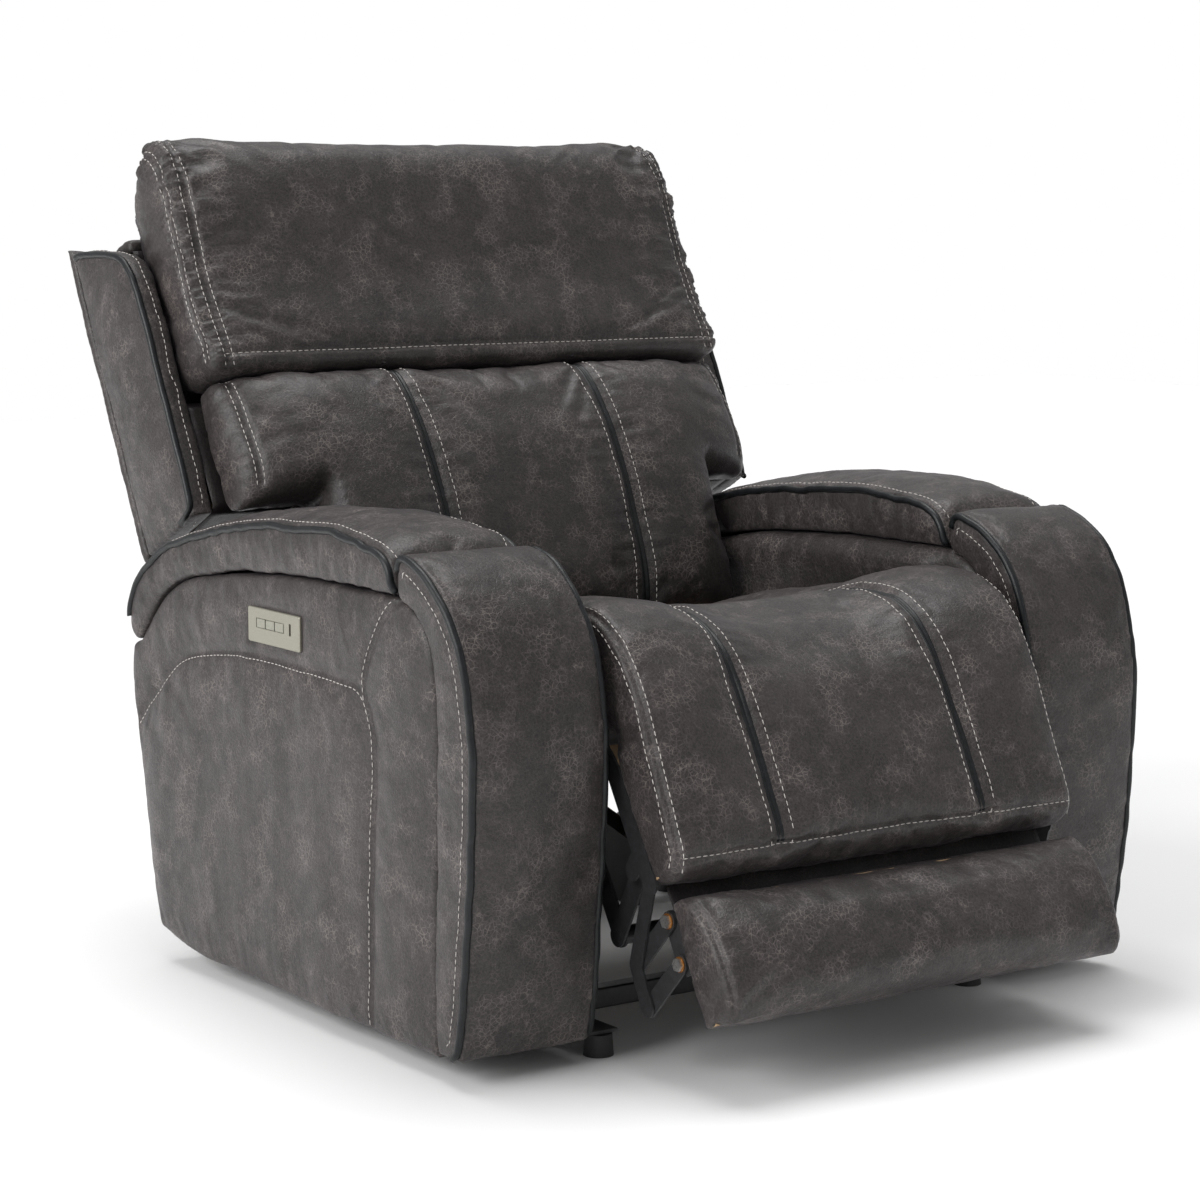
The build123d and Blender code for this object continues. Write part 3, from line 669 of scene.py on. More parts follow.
def stitched(name, lines):
    """Rows of stitches along the lines, as one plain mesh."""
    verts, edges = [], []
    for spots, ups in lines:
        base = len(verts)
        verts += [tuple(p + n * STITCH_LIFT) for p, n in zip(spots, ups)]
        edges += [(base + i, base + i + 1) for i in range(len(spots) - 1)]
    mesh = bpy.data.meshes.new(name)
    mesh.from_pydata(verts, edges, [])
    obj = bpy.data.objects.new(name, mesh)
    bpy.context.scene.collection.objects.link(obj)
    rows = obj.modifiers.new("rows", "NODES")
    rows.node_group = stitching
    for key, value in (("Pitch", STITCH_PITCH), ("Long", STITCH_LONG), ("Thick", STITCH_THICK),
                       ("Thread", thread)):
        rows[stitch_sizes[key]] = value
    settle_modifiers(obj)
    return smooth_shaded(obj)


def dress(obj, material, body, nodes=(), bend=None):
    """Gives a finished piece its material and the body it moves with; a piece given bend only has its transform
    baked in.
    """
    obj.data.materials.clear()
    obj.data.materials.append(material)
    smooth_shaded(obj)
    if bend:
        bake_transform(obj)
    else:
        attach(obj, body)
    if nodes:
        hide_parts(*nodes)
    return obj


def trim(name, obj, body, welts=(), piping=(), rows=(), bend=None):
    """Welt strips, piping and stitch rows that belong to one cover."""
    if welts:
        dress(swept(f"{name}_strips", welts, WELT_STRIP), welt_black, body, bend=bend)
    if piping:
        dress(swept(f"{name}_piping", piping, PIPING), welt_black, body, bend=bend)
    if rows:
        dress(stitched(f"{name}_stitches", rows), thread, body, bend=bend)


def step_up(value, low, high):
    """Smooth step from 0 at low to 1 at high."""
    t = np.clip((value - low) / (high - low), 0, 1)
    return t * t * (3 - 2 * t)


# ---- seat and leg rest, one cover over the knee ----
def make_seat():
    """Seat cushion and leg pad under one cover, higher at the arms than in the middle."""
    side_rise, middle_drop, rear_dip = 30 * MM, 3 * MM, 17 * MM
    seam_x, edge_in, hem_in = 151 * MM, 5 * MM, 12 * MM
    top = side_of([(506, 430), (437, 446), (372, 458), (288, 472), (200, 488), (132, 497),
                   (100, 499), (70, 498), (40, 494), (12, 481)])
    shin = leg_of([(0, 92), (25, 95), (60, 96.5), (165, 96.5), (215, 93), (233, 88.5), (244, 79),
                   (248, 66), (247, 50), (243, 30), (238, 20)])
    outer = np.vstack([top, shin])
    outline = closed(outer, leg_of([(238, 20), (84, 20)]), leg_of([(84, 20), (60, 34)]),
                     np.vstack([leg_of([(60, 34)]), side_of([(95, 352)])]),
                     side_of([(95, 352), (500, 352)]), side_of([(500, 352), (506, 430)]))
    seat = form("seat_cover", [(outline, -SEAT_HALF, SEAT_HALF)])
    round_sides(seat, outline, -SEAT_HALF, SEAT_HALF, radius=17 * MM)
    co = points_of(seat)
    knee_y = knee.y
    behind = co[:, 1] > knee_y
    on_top = np.where(behind, step_up(co[:, 2], 0.42, 0.45), step_up(co[:, 2], 0.27, 0.50))
    rise = side_rise * step_up(np.abs(co[:, 0]), 50 * MM, 265 * MM) - middle_drop
    facing = np.where(behind, 0, 1 - step_up(co[:, 2], 0.40, 0.505))
    dip = rear_dip * step_up(co[:, 1], *side_of([(115, 0), (240, 0)])[:, 0])
    co[:, 2] += (rise - dip) * on_top * np.cos(facing)
    co[:, 1] -= rise * on_top * np.sin(facing)
    move_to(seat, co)
    inside = side_of([(250, 300)])[0]
    seams = [along(np.vstack([outer[:-6], leg_of([(229, 90)])]), x, inside) for x in (-seam_x, seam_x)]
    edges = [along(outer[:-4], x, inside) for x in (edge_in - SEAT_HALF, SEAT_HALF - edge_in)]
    hem = [across(leg_of([(234, 88)])[0], (-1, -0.1), hem_in - SEAT_HALF, SEAT_HALF - hem_in)]
    held = settle(seat, seams + edges)

    def hidden(co):
        inner = from_outline(closed(leg_of([(20, 50), (240, 50)]), leg_of([(240, 50), (240, 0)]),
                                    leg_of([(240, 0), (20, 0)]), leg_of([(20, 0), (20, 50)])),
                             co[:, 1:])[0] < 0
        return inner | ((co[:, 2] < 0.40) & (co[:, 1] > knee_y - 30 * MM))

    swell(seat, held, cap=11 * MM, pressure=4.0, hold=hidden, slack=0.01)
    subdivide(seat)
    held = settle(seat, seams)
    rim = settle(seat, edges)
    low_hem = settle(seat, hem)
    crease(seat, held, depth=4.5 * MM, width=11 * MM, pucker=1.6 * MM, seed=2.0)
    crease(seat, rim, depth=2.6 * MM, width=4 * MM, pucker=1.5 * MM, seed=5.0)
    crease(seat, low_hem, depth=2.0 * MM, width=5 * MM, pucker=1.2 * MM, seed=6.0)
    uneven(seat, amount=2.2 * MM, size=0.085, seed=3.0, stretch=(1, 1.3, 1.3))
    uneven(seat, amount=0.8 * MM, size=0.030, seed=9.0)
    held, rim = settle(seat, seams), settle(seat, edges)
    bend = ("base", "leg_rest", (0, knee_y + 45 * MM, knee.z + 55 * MM),
            (0, knee_y - 55 * MM, knee.z + 35 * MM))
    rows = both_sides(seat, held, STITCH_OFFSET)
    rows += both_sides(seat, rim, 7 * MM) + settle(seat, hem)
    dress(seat, hide_main, None, nodes=("seat_cushion", "leg_pad"), bend=bend)
    trim("seat", seat, None, welts=held, rows=rows, bend=bend)


def make_foot():
    """Rolled foot pad, sharper at its rear edges, where it takes in its board."""
    edge_in, rear_radius, more_in_front = 5 * MM, 3, 12
    front = foot_of([(92, 94), (98, 109), (129, 127), (176, 136), (213, 137), (234, 131),
                     (245, 116), (243, 100), (238, 90)])
    outline = closed(front, foot_of([(238, 90), (242, 70)]), foot_of([(242, 70), (92, 70)]),
                     foot_of([(92, 70), (92, 94)]))
    pad = form("foot_cover", [(outline, -FOOT_HALF, FOOT_HALF)], voxel=0.0055)
    outward = np.array([-math.cos(FOOT_ANGLE), math.sin(FOOT_ANGLE)])
    board = foot_of([(170, 78)])[0]

    def edge_radius(co):
        return (rear_radius + more_in_front * step_up((co[:, 1:] - board) @ outward, 0, 30 * MM)) * MM

    round_sides(pad, outline, -FOOT_HALF, FOOT_HALF, edge_radius)
    inside = foot_of([(170, 95)])[0]
    edges = [along(front, x, inside) for x in (edge_in - FOOT_HALF, FOOT_HALF - edge_in)]
    rim = settle(pad, edges)
    swell(pad, rim, cap=9 * MM, pressure=4.0,
          hold=lambda co: (co[:, 1:] - board) @ outward < 6 * MM, slack=0.008)
    subdivide(pad)
    crease(pad, settle(pad, edges), depth=2.4 * MM, width=4 * MM, pucker=2.2 * MM, gather=0.018,
           spread=0.03, seed=4.0)
    uneven(pad, amount=2.0 * MM, size=0.07, seed=5.0)
    uneven(pad, amount=0.8 * MM, size=0.028, seed=8.0)
    dress(pad, hide_main, "foot_rest", nodes=("foot_pad",))


make_seat()
make_foot()


# ---- back cushions ----
LUMBAR_FACE = [(75, 142), (100, 156), (135, 166), (190, 174), (253, 180), (329, 179), (386, 171),
               (414, 162), (438, 151), (449, 138), (452, 120)]


def make_lumbar():
    """Lower back cushion: narrow between the arms, wide above them, thinner at its sides."""
    crown_x, side_loss, middle_hollow, seam_x, edge_x = 225 * MM, 0.62, 0.07, 148 * MM, 384 * MM
    outline = closed(back_of(LUMBAR_FACE), back_of([(452, 120), (452, 62)]),
                     back_of([(452, 62), (75, 62)]), back_of([(75, 62), (75, 142)]))
    upper = [(294, 62), (280, 90), (277, 140), (290, 168), (322, 180), (386, 171), (414, 162),
             (438, 151), (449, 138), (452, 120)]
    wide = closed(back_of(upper), back_of([(452, 120), (452, 62)]), back_of([(452, 62), (294, 62)]))
    cover = form("lumbar_cover", [(outline, -LUMBAR_LOW_HALF + 2 * MM, LUMBAR_LOW_HALF - 2 * MM),
                                  (wide, -LUMBAR_HALF, LUMBAR_HALF)], soften=6)
    co = points_of(cover)
    forward = np.array([-math.cos(BACK_LEAN), math.sin(BACK_LEAN)])
    flat = np.array([back_hinge.y, back_hinge.z]) + 66 * MM * forward
    lift = (co[:, 1:] - flat) @ forward
    out = np.clip((np.abs(co[:, 0]) - crown_x) / (LUMBAR_HALF - crown_x), 0, 1)
    share = 1 - side_loss * (1 - np.sqrt(1 - np.minimum(out, 0.995) ** 2))
    hollow = 1 - middle_hollow * (1 - step_up(np.abs(co[:, 0]), 20 * MM, 230 * MM))
    co[:, 1:] += np.outer(lift * (share * hollow - 1), forward)
    move_to(cover, co)
    inside = back_of([(250, 0)])[0]
    seams = [along(back_of(LUMBAR_FACE[:-1]), x, inside) for x in (-seam_x, seam_x)]
    edge_run = back_of([(296, 132), (345, 128), (400, 122), (448, 100)])
    edges = [along(edge_run, s * edge_x, inside) for s in (-1, 1)]
    held = settle(cover, seams + edges, reach=0.08)

    def hidden(co):
        return (co[:, 1:] - flat) @ forward < 12 * MM

    swell(cover, held, cap=12 * MM, pressure=4.0, hold=hidden, slack=0.01)
    subdivide(cover)
    middle, rim = settle(cover, seams, reach=0.08), settle(cover, edges, reach=0.08)
    crease(cover, middle, depth=5.0 * MM, width=12 * MM, pucker=1.8 * MM, seed=12.0)
    crease(cover, rim, depth=4.0 * MM, width=6 * MM, pucker=3.0 * MM, gather=0.02, spread=0.03,
           seed=14.0)
    uneven(cover, amount=2.4 * MM, size=0.09, seed=13.0)
    uneven(cover, amount=0.8 * MM, size=0.03, seed=15.0)
    middle, rim = settle(cover, seams, reach=0.08), settle(cover, edges, reach=0.08)
    rows = both_sides(cover, middle, STITCH_OFFSET) + both_sides(cover, rim, 5 * MM)
    dress(cover, hide_main, "back", nodes=("lumbar_cushion",))
    trim("lumbar", cover, "back", welts=middle, rows=rows)


def make_pillow():
    """Headrest pillow: a face panel, a shirred strip round each end and smooth side panels."""
    face_in, shoulder, shoulder_drop = 25 * MM, 90 * MM, 11 * MM
    front = [(455, 104), (456, 126), (464, 139), (480, 142), (513, 136), (559, 130), (601, 129),
             (657, 134), (725, 139), (768, 134), (800, 119), (817, 98)]
    rear = [(817, 98), (813, 82), (798, 60), (774, 38), (746, 24), (700, 19.5), (563, 19.5),
            (480, 19.5)]
    outline = closed(back_of(front), back_of(rear), back_of([(480, 19.5), (458, 52)]),
                     back_of([(458, 52), (455, 104)]))
    half = PILLOW_HALF - 2 * MM
    cover = form("pillow_cover", [(outline, -half, half)])
    round_sides(cover, outline, -half, half, radius=24 * MM)
    inside = back_of([(640, 70)])[0]
    upward = np.array([math.sin(BACK_LEAN), math.cos(BACK_LEAN)])
    co = points_of(cover)
    end = np.clip((np.abs(co[:, 0]) - half + shoulder) / shoulder, 0, 1) ** 2
    high = step_up((co[:, 1:] - inside) @ upward, 60 * MM, 170 * MM)
    co[:, 1:] -= np.outer(shoulder_drop * end * high, upward)
    move_to(cover, co)
    face_run = back_of(front[2:] + rear[1:4])
    gusset = back_of([(476, 122), (513, 119), (559, 114), (601, 113), (657, 117), (725, 122),
                      (760, 118), (783, 104), (790, 84), (782, 62), (764, 44)])
    face = [along(face_run, s * (half - face_in), inside) for s in (-1, 1)]
    outer = [on_face(gusset, s * half) for s in (-1, 1)]
    bottom = [across(back_of([(478, 142)])[0], (-0.9, 0.2), face_in - half, half - face_in)]
    held = settle(cover, face + outer + bottom)
    forward = np.array([-math.cos(BACK_LEAN), math.sin(BACK_LEAN)])
    rear_face = back_of([(600, 19.4)])[0]

    def hidden(co):
        lip = (co[:, 1:] - inside) @ upward < -163 * MM
        return lip | ((co[:, 1:] - rear_face) @ forward < 8 * MM)

    swell(cover, held, cap=13 * MM, pressure=4.0, hold=hidden, slack=0.012)
    subdivide(cover)
    laid_face, laid_outer = settle(cover, face), settle(cover, outer)
    laid_bottom = settle(cover, bottom)
    gathers(cover, laid_face, laid_outer)
    crease(cover, laid_face, depth=3.6 * MM, width=5 * MM, pucker=3.4 * MM, gather=0.016,
           spread=0.024, seed=21.0)
    crease(cover, laid_outer, depth=3.4 * MM, width=5 * MM, pucker=2.4 * MM, gather=0.022,
           spread=0.03, seed=22.0)
    crease(cover, laid_bottom, depth=3.0 * MM, width=6 * MM, pucker=1.4 * MM, gather=0.03,
           spread=0.03, seed=23.0)
    uneven(cover, amount=2.6 * MM, size=0.11, seed=24.0)
    uneven(cover, amount=0.8 * MM, size=0.03, seed=25.0)
    co = points_of(cover)
    lift = (co[:, 1:] - rear_face) @ forward
    flat = (co[:, 1:] - inside) @ upward < 104 * MM
    behind = np.where(flat & (lift < 7 * MM), lift, np.minimum(lift, 0))
    co[:, 1:] -= np.outer(behind, forward)
    move_to(cover, co)
    laid_face, laid_outer = settle(cover, face), settle(cover, outer)
    rows = both_sides(cover, laid_face, 6 * MM) + both_sides(cover, laid_outer, 5 * MM)
    rows += beside(cover, settle(cover, bottom), offset=2 * MM)
    dress(cover, hide_main, "headrest", nodes=("headrest_pillow",))
    trim("pillow", cover, "headrest", rows=rows)


def gathers(obj, first, second):
    """Shirring of the strip that lies between two seams."""
    strip_wide, fade_wide, fold_deep, fold_long = 56 * MM, 7 * MM, 4.2 * MM, 7.5 * MM
    co, up = points_of(obj), normals_of(obj)
    near_first, run = nearest(co, first)
    near_second, _ = nearest(co, second)
    both = near_first + near_second
    band = np.nonzero((both < strip_wide) & (np.abs(co[:, 0]) > PILLOW_HALF - 40 * MM))[0]
    fade = np.clip(np.minimum(near_first[band], near_second[band]) / fade_wide, 0, 1)
    fade *= 1 - step_up(both[band], strip_wide - 10 * MM, strip_wide)
    wave = np.array([noise.noise(Vector((run[i] / fold_long, 3.0, near_first[i] / 0.03)))
                     for i in band])
    push = np.zeros(len(co))
    push[band] = fold_deep * wave * fade
    move_to(obj, co + up * push[:, None])


make_lumbar()
make_pillow()


# ---- arms ----
PAD_SEAM = [(142, 544), (240, 544), (355, 543), (504, 534), (583, 523), (664, 508), (721, 483),
            (765, 443), (790, 416)]
PAD_EDGE = [(144, 548), (147, 563), (155, 580), (172, 592), (203, 599), (248, 605), (306, 607),
            (377, 604), (451, 599), (528, 589), (594, 578), (662, 562), (718, 544), (761, 521),
            (791, 495), (806, 474), (816, 448), (808, 420)]
FRONT_EDGE = [(11, 32), (4, 62), (-3, 109), (-9, 167), (-16, 224), (-21, 281), (-23, 337),
              (-24, 382), (-18, 425), (-9, 468), (5, 505), (21, 530), (42, 553), (73, 575),
              (100, 587), (126, 592), (138, 590)]
FRONT_SEAM = [(61, 31), (66, 140), (61, 233), (58, 324), (56, 403), (62, 459), (74, 496),
              (101, 527), (138, 541)]
ARM_REAR = [(790, 414), (806, 410), (813, 385), (805, 320), (781, 204), (762, 100), (744, 42)]
INSET_TOP = [(795, 311), (765, 339), (721, 371), (692, 395), (650, 414), (582, 427), (504, 435),
             (415, 436), (319, 434), (249, 432), (226, 427), (211, 414), (200, 390), (193, 355),
             (192, 325), (196, 242), (200, 159), (206, 34)]
CORNER_SEAM = [(140, 538), (160, 524), (183, 495), (201, 469), (215, 436), (213, 418)]


def make_arm_pad(sign, hand):
    """Crowned top pad of one arm, piped along both of its long edges."""
    crown_high, row_in = 11 * MM, 13 * MM
    low, high = sorted((sign * (ARM_INNER + 1 * MM), sign * (ARM_OUTER - 1 * MM)))
    outline = closed(side_of(PAD_EDGE), side_of([(808, 420), (790, 416)]),
                     side_of(PAD_SEAM[::-1]), side_of([(142, 544), (144, 548)]))
    pad = form(f"arm_pad_cover_{hand}", [(outline, low, high)], voxel=0.0055)
    round_sides(pad, outline, low, high, radius=5 * MM)
    middle, half = (low + high) / 2, (high - low) / 2
    inside = side_of([(450, 480)])[0]
    co = points_of(pad)
    lift = step_up(co[:, 2] - np.interp(co[:, 1], *zip(*side_of(PAD_SEAM))), 20 * MM, 42 * MM)
    crown = 1 - np.clip(np.abs(co[:, 0] - middle) / half, 0, 1) ** 2.4
    co[:, 2] += crown_high * lift * crown
    move_to(pad, co)
    edges = [along(side_of(PAD_EDGE[:-1]), x, inside) for x in (low + 2 * MM, high - 2 * MM)]
    held = settle(pad, edges)

    def hidden(co):
        below = np.interp(co[:, 1], *zip(*side_of(PAD_SEAM)))
        return co[:, 2] < below + 6 * MM

    swell(pad, held, cap=10 * MM, pressure=3.0, hold=hidden, slack=0.006)
    subdivide(pad)
    held = settle(pad, edges)
    crease(pad, held, depth=1.6 * MM, width=4 * MM, pucker=1.8 * MM, gather=0.022, spread=0.03,
           seed=31.0 + sign)
    uneven(pad, amount=2.2 * MM, size=0.08, seed=32.0 + sign, stretch=(1.4, 1, 1))
    uneven(pad, amount=0.8 * MM, size=0.026, seed=34.0 + sign)
    held = settle(pad, edges)
    inner_rows = [beside(pad, [line], row_in * turn)[0] for line, turn in zip(held, (1, -1))]
    dress(pad, hide_main, "base", nodes=(f"arm_pad_{hand}",))
    trim(f"arm_pad_{hand}", pad, "base", piping=held, rows=inner_rows)


def make_arm_front(sign, hand):
    """Curved front panel of one arm, from the pad down to the floor side."""
    row_in = 14 * MM
    low, high = sorted((sign * (ARM_INNER + 1 * MM), sign * (ARM_OUTER - 1 * MM)))
    outline = closed(side_of(FRONT_EDGE), side_of([(138, 590), (139, 543)]),
                     side_of(FRONT_SEAM[::-1]), side_of([(61, 31), (11, 32)]))
    panel = form(f"arm_front_cover_{hand}", [(outline, low, high)], voxel=0.0055)
    round_sides(panel, outline, low, high, radius=5 * MM)
    inside = side_of([(60, 300)])[0]
    edges = [along(side_of(FRONT_EDGE), x, inside) for x in (low + 2 * MM, high - 2 * MM)]
    held = settle(panel, edges)

    def hidden(co):
        far = from_outline(closed(side_of(FRONT_SEAM), side_of([(138, 541), (400, 541)]),
                                  side_of([(400, 541), (400, 31)]), side_of([(400, 31), (61, 31)])),
                           co[:, 1:])[0]
        return (far < 7 * MM) | (co[:, 2] < 0.036)

    swell(panel, held, cap=8 * MM, pressure=3.0, hold=hidden, slack=0.006)
    subdivide(panel)
    crease(panel, settle(panel, edges), depth=1.6 * MM, width=4 * MM, pucker=1.4 * MM,
           gather=0.024, spread=0.03, seed=41.0 + sign)
    uneven(panel, amount=2.0 * MM, size=0.10, seed=42.0 + sign, stretch=(1.2, 1, 0.8))
    uneven(panel, amount=0.7 * MM, size=0.026, seed=44.0 + sign)
    held = settle(panel, edges)
    rows = [beside(panel, [line], row_in * turn)[0] for line, turn in zip(held, (-1, 1))]
    dress(panel, hide_main, "base", nodes=(f"arm_front_{hand}",))
    trim(f"arm_front_{hand}", panel, "base", piping=held, rows=rows)


def arm_outline():
    """Side outline of the arm below its pad, wide enough to take in the board at its rear."""
    rear = side_of(ARM_REAR) + np.array([3.5 * MM, 0])
    return closed(
        side_of([(63, 24), (63, 31)]),
        side_of(FRONT_SEAM) + np.array([1 * MM, 0]),
        side_of([(139, 541), (142, 542)]),
        side_of(PAD_SEAM) - np.array([0, 2 * MM]),
        rear,
        np.vstack([rear[-1:], side_of([(640, 25), (540, 24)])]),
        side_of([(540, 24), (63, 24)]),
    )


def make_arm_side(sign, hand):
    """Outer side of one arm with its sewn inset, flat under the switch plate."""
    outline = arm_outline()
    low, high = sorted((sign * BOARD_LOW, sign * SIDE_FACE))
    panel = form(f"arm_side_cover_{hand}", [(outline, low, high)])
    round_sides(panel, outline, low, high, radius=11 * MM)
    lines = [on_face(side_of(INSET_TOP), sign * SIDE_FACE),
             on_face(side_of(CORNER_SEAM), sign * SIDE_FACE)]
    held = settle(panel, lines)
    plate_low, plate_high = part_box("switch_plate")

    def near_plate(co, gap):
        dy = np.maximum(plate_low.y - co[:, 1], co[:, 1] - plate_high.y)
        dz = np.maximum(plate_low.z - co[:, 2], co[:, 2] - plate_high.z)
        return np.maximum(dy, dz) < gap

    def hidden(co):
        edge = from_outline(outline, co[:, 1:])[0] > -6 * MM
        back_side = np.abs(co[:, 0]) < SIDE_FACE - 26 * MM
        plate = near_plate(co, 5 * MM) if hand == "right" else np.zeros(len(co), bool)
        return edge | back_side | plate

    swell(panel, held, cap=9 * MM, pressure=3.0, hold=hidden, slack=0.004)
    subdivide(panel)
    held = settle(panel, lines)
    crease(panel, held, depth=3.0 * MM, width=5.5 * MM, pucker=1.6 * MM, gather=0.03, spread=0.03,
           seed=51.0 + sign)
    uneven(panel, amount=2.4 * MM, size=0.12, seed=52.0 + sign, stretch=(1, 1.6, 0.8))
    uneven(panel, amount=0.7 * MM, size=0.028, seed=54.0 + sign)
    if hand == "right":
        co = points_of(panel)
        flat = near_plate(co, 4 * MM) & (np.abs(co[:, 0]) > SIDE_FACE - 12 * MM)
        co[flat, 0] = np.maximum(co[flat, 0], plate_high.x + 0.2 * MM)
        move_to(panel, co)
    held = settle(panel, lines)
    rows = [beside(panel, [line], offset=6 * MM * turn)[0] for line, turn in zip(held, (-sign, -sign))]
    dress(panel, hide_main, "base", nodes=(f"arm_outer_side_{hand}",))
    trim(f"arm_side_{hand}", panel, "base", rows=rows)


def make_inner_sides():
    """Inner sides of both arms, with a soft roll under the pads."""
    roll_deep, radius = 12 * MM, 12 * MM
    outline = arm_outline()
    slabs = [(outline, *sorted((sign * (ARM_INNER + 1 * MM), sign * BOARD_HIGH)))
             for sign, _ in SIDES]
    covers = form("arm_inner_covers", slabs, voxel=0.008)
    for _, low, high in slabs:
        co = points_of(covers)
        mine = (co[:, 0] > low - 0.01) & (co[:, 0] < high + 0.01)
        far, away = from_outline(outline, co[:, 1:])
        wall, flank = far + radius, np.abs(co[:, 0] - (low + high) / 2) - (high - low) / 2 + radius
        size = np.hypot(wall, flank)
        turned = mine & (wall > 0) & (flank > 0) & (size > radius)
        fit = np.where(turned, radius / np.maximum(size, 1e-9), 1)
        co[:, 0] += np.sign(co[:, 0] - (low + high) / 2) * flank * (fit - 1)
        co[:, 1:] += away * (wall * (fit - 1))[:, None]
        move_to(covers, co)
    co = points_of(covers)
    below = np.interp(co[:, 1], *zip(*side_of(PAD_SEAM))) - co[:, 2]
    roll = step_up(below, 0, 24 * MM) * (1 - step_up(below, 32 * MM, 80 * MM))
    roll *= step_up(co[:, 1], *side_of([(140, 0), (185, 0)])[:, 0])
    roll *= 1 - step_up(np.abs(co[:, 0]), ARM_INNER + 4 * MM, ARM_INNER + 20 * MM)
    co[:, 0] -= np.sign(co[:, 0]) * roll_deep * roll
    move_to(covers, co)
    uneven(covers, amount=2.5 * MM, size=0.12, seed=61.0)
    subdivide(covers)
    dress(covers, hide_main, "base", nodes=("arm_inner_sides",))


for sign, hand in SIDES:
    make_arm_pad(sign, hand)
    make_arm_front(sign, hand)
    make_arm_side(sign, hand)
make_inner_sides()


# ---- back shell ----
WING_FRONT = [(290, 56), (363, 61), (477, 63), (607, 62), (640, 55), (665, 40), (684, 18),
              (701, -10), (718, -42), (728, -66), (734, -90)]


def make_wings():
    """Piped side wings of the back."""
    outline = closed(back_of(WING_FRONT), back_of([(734, -90), (733, -93)]),
                     back_of([(733, -93), (290, -93)]), back_of([(290, -93), (290, 56)]))
    inside = back_of([(450, -40)])[0]
    for sign, hand in SIDES:
        low, high = sorted((sign * (BACK_HALF - 32 * MM), sign * (BACK_HALF - 1 * MM)))
        wing = form(f"wing_cover_{hand}", [(outline, low, high)], voxel=0.0055)
        round_sides(wing, outline, low, high, radius=5 * MM)
        line = [along(back_of(WING_FRONT), sign * (BACK_HALF - 3 * MM), inside)]
        held = settle(wing, line)

        def hidden(co):
            inner = np.abs(co[:, 0]) < BACK_HALF - 26 * MM
            return inner | (from_outline(outline, co[:, 1:])[0] > -3 * MM)

        swell(wing, held, cap=6 * MM, pressure=3.0, hold=hidden, slack=0.004)
        subdivide(wing)
        crease(wing, settle(wing, line), depth=1.2 * MM, width=4 * MM, pucker=1.6 * MM,
               gather=0.03, spread=0.04, seed=71.0 + sign)
        uneven(wing, amount=2.2 * MM, size=0.10, seed=72.0 + sign)
        uneven(wing, amount=0.7 * MM, size=0.028, seed=74.0 + sign)
        held = settle(wing, line)
        rows = beside(wing, held, offset=-12 * MM * sign)
        dress(wing, hide_main, "back", nodes=("wings",))
        trim(f"wing_{hand}", wing, "back", piping=held, rows=rows)


def make_back_covers():
    """Outside back, the cover of the top rail and the lower panel."""
    half = BACK_HALF - 1 * MM
    outline = closed(back_of([(290, -112), (728, -112), (735, -104), (736, -95)]),
                     back_of([(736, -95), (290, -95)]), back_of([(290, -95), (290, -112)]))
    outer = form("outside_back_cover", [(outline, -half, half)])
    round_sides(outer, outline, -half, half, radius=6 * MM)
    rear = [on_back(s0, x0, s1, x1) for s0, x0, s1, x1 in (
        (296, -half + 16 * MM, 722, -half + 16 * MM), (296, half - 16 * MM, 722, half - 16 * MM))]
    held = settle(outer, rear)
    inside_line = back_of([(290, -98)])[0]
    forward = np.array([-math.cos(BACK_LEAN), math.sin(BACK_LEAN)])

    def hidden(co):
        return (co[:, 1:] - inside_line) @ forward > -4 * MM

    swell(outer, held, cap=7 * MM, pressure=3.0, hold=hidden, slack=0.004)
    subdivide(outer)
    held = settle(outer, rear)
    crease(outer, held, depth=2.0 * MM, width=5 * MM, pucker=1.4 * MM, gather=0.03, spread=0.03,
           seed=81.0)
    uneven(outer, amount=2.4 * MM, size=0.13, seed=82.0)
    uneven(outer, amount=0.7 * MM, size=0.03, seed=83.0)
    rows = beside(outer, settle(outer, rear), offset=6 * MM)
    dress(outer, hide_main, "back", nodes=("outside_back",))
    trim("outside_back", outer, "back", rows=rows)

    top = closed(back_of([(686, -92), (708, -92), (713, -86), (713, -30), (708, 8), (702, 13)]),
                 back_of([(702, 13), (688, 13)]), back_of([(688, 13), (686, -92)]))
    width = BACK_HALF - 33 * MM
    rail = form("back_top_cover", [(top, -width, width)])
    round_sides(rail, top, -width, width, radius=4 * MM)
    uneven(rail, amount=1.5 * MM, size=0.06, seed=84.0)
    subdivide(rail)
    dress(rail, hide_main, "back", nodes=("back_top_rail",))

    lower = closed(back_of([(31, -48), (160, -52), (289, -48)]), back_of([(289, -48), (289, -37)]),
                   back_of([(289, -37), (31, -37)]), back_of([(31, -37), (31, -48)]))
    reach = LUMBAR_LOW_HALF - 2 * MM
    skirt = form("lower_back_cover", [(lower, -reach, reach)])
    round_sides(skirt, lower, -reach, reach, radius=4 * MM)
    uneven(skirt, amount=2.0 * MM, size=0.08, seed=85.0)
    subdivide(skirt)
    dress(skirt, hide_main, "back", nodes=("lower_back_panel",))


def make_post_covers():
    """Cloth wrapped over the outer sides of the two posts, above the arms."""
    outline = closed(back_of([(216, -46), (290, -46)]), back_of([(290, -46), (293, 66)]),
                     back_of([(293, 66), (216, 66)]), back_of([(216, 66), (216, -46)]))
    slabs = [(outline, *sorted((sign * (POST_FACE - 4 * MM), sign * (POST_FACE + 7 * MM))))
             for sign, _ in SIDES]
    wraps = form("back_post_covers", slabs, voxel=0.004, soften=1)
    uneven(wraps, amount=1.0 * MM, size=0.05, seed=86.0)
    dress(wraps, hide_main, "back")


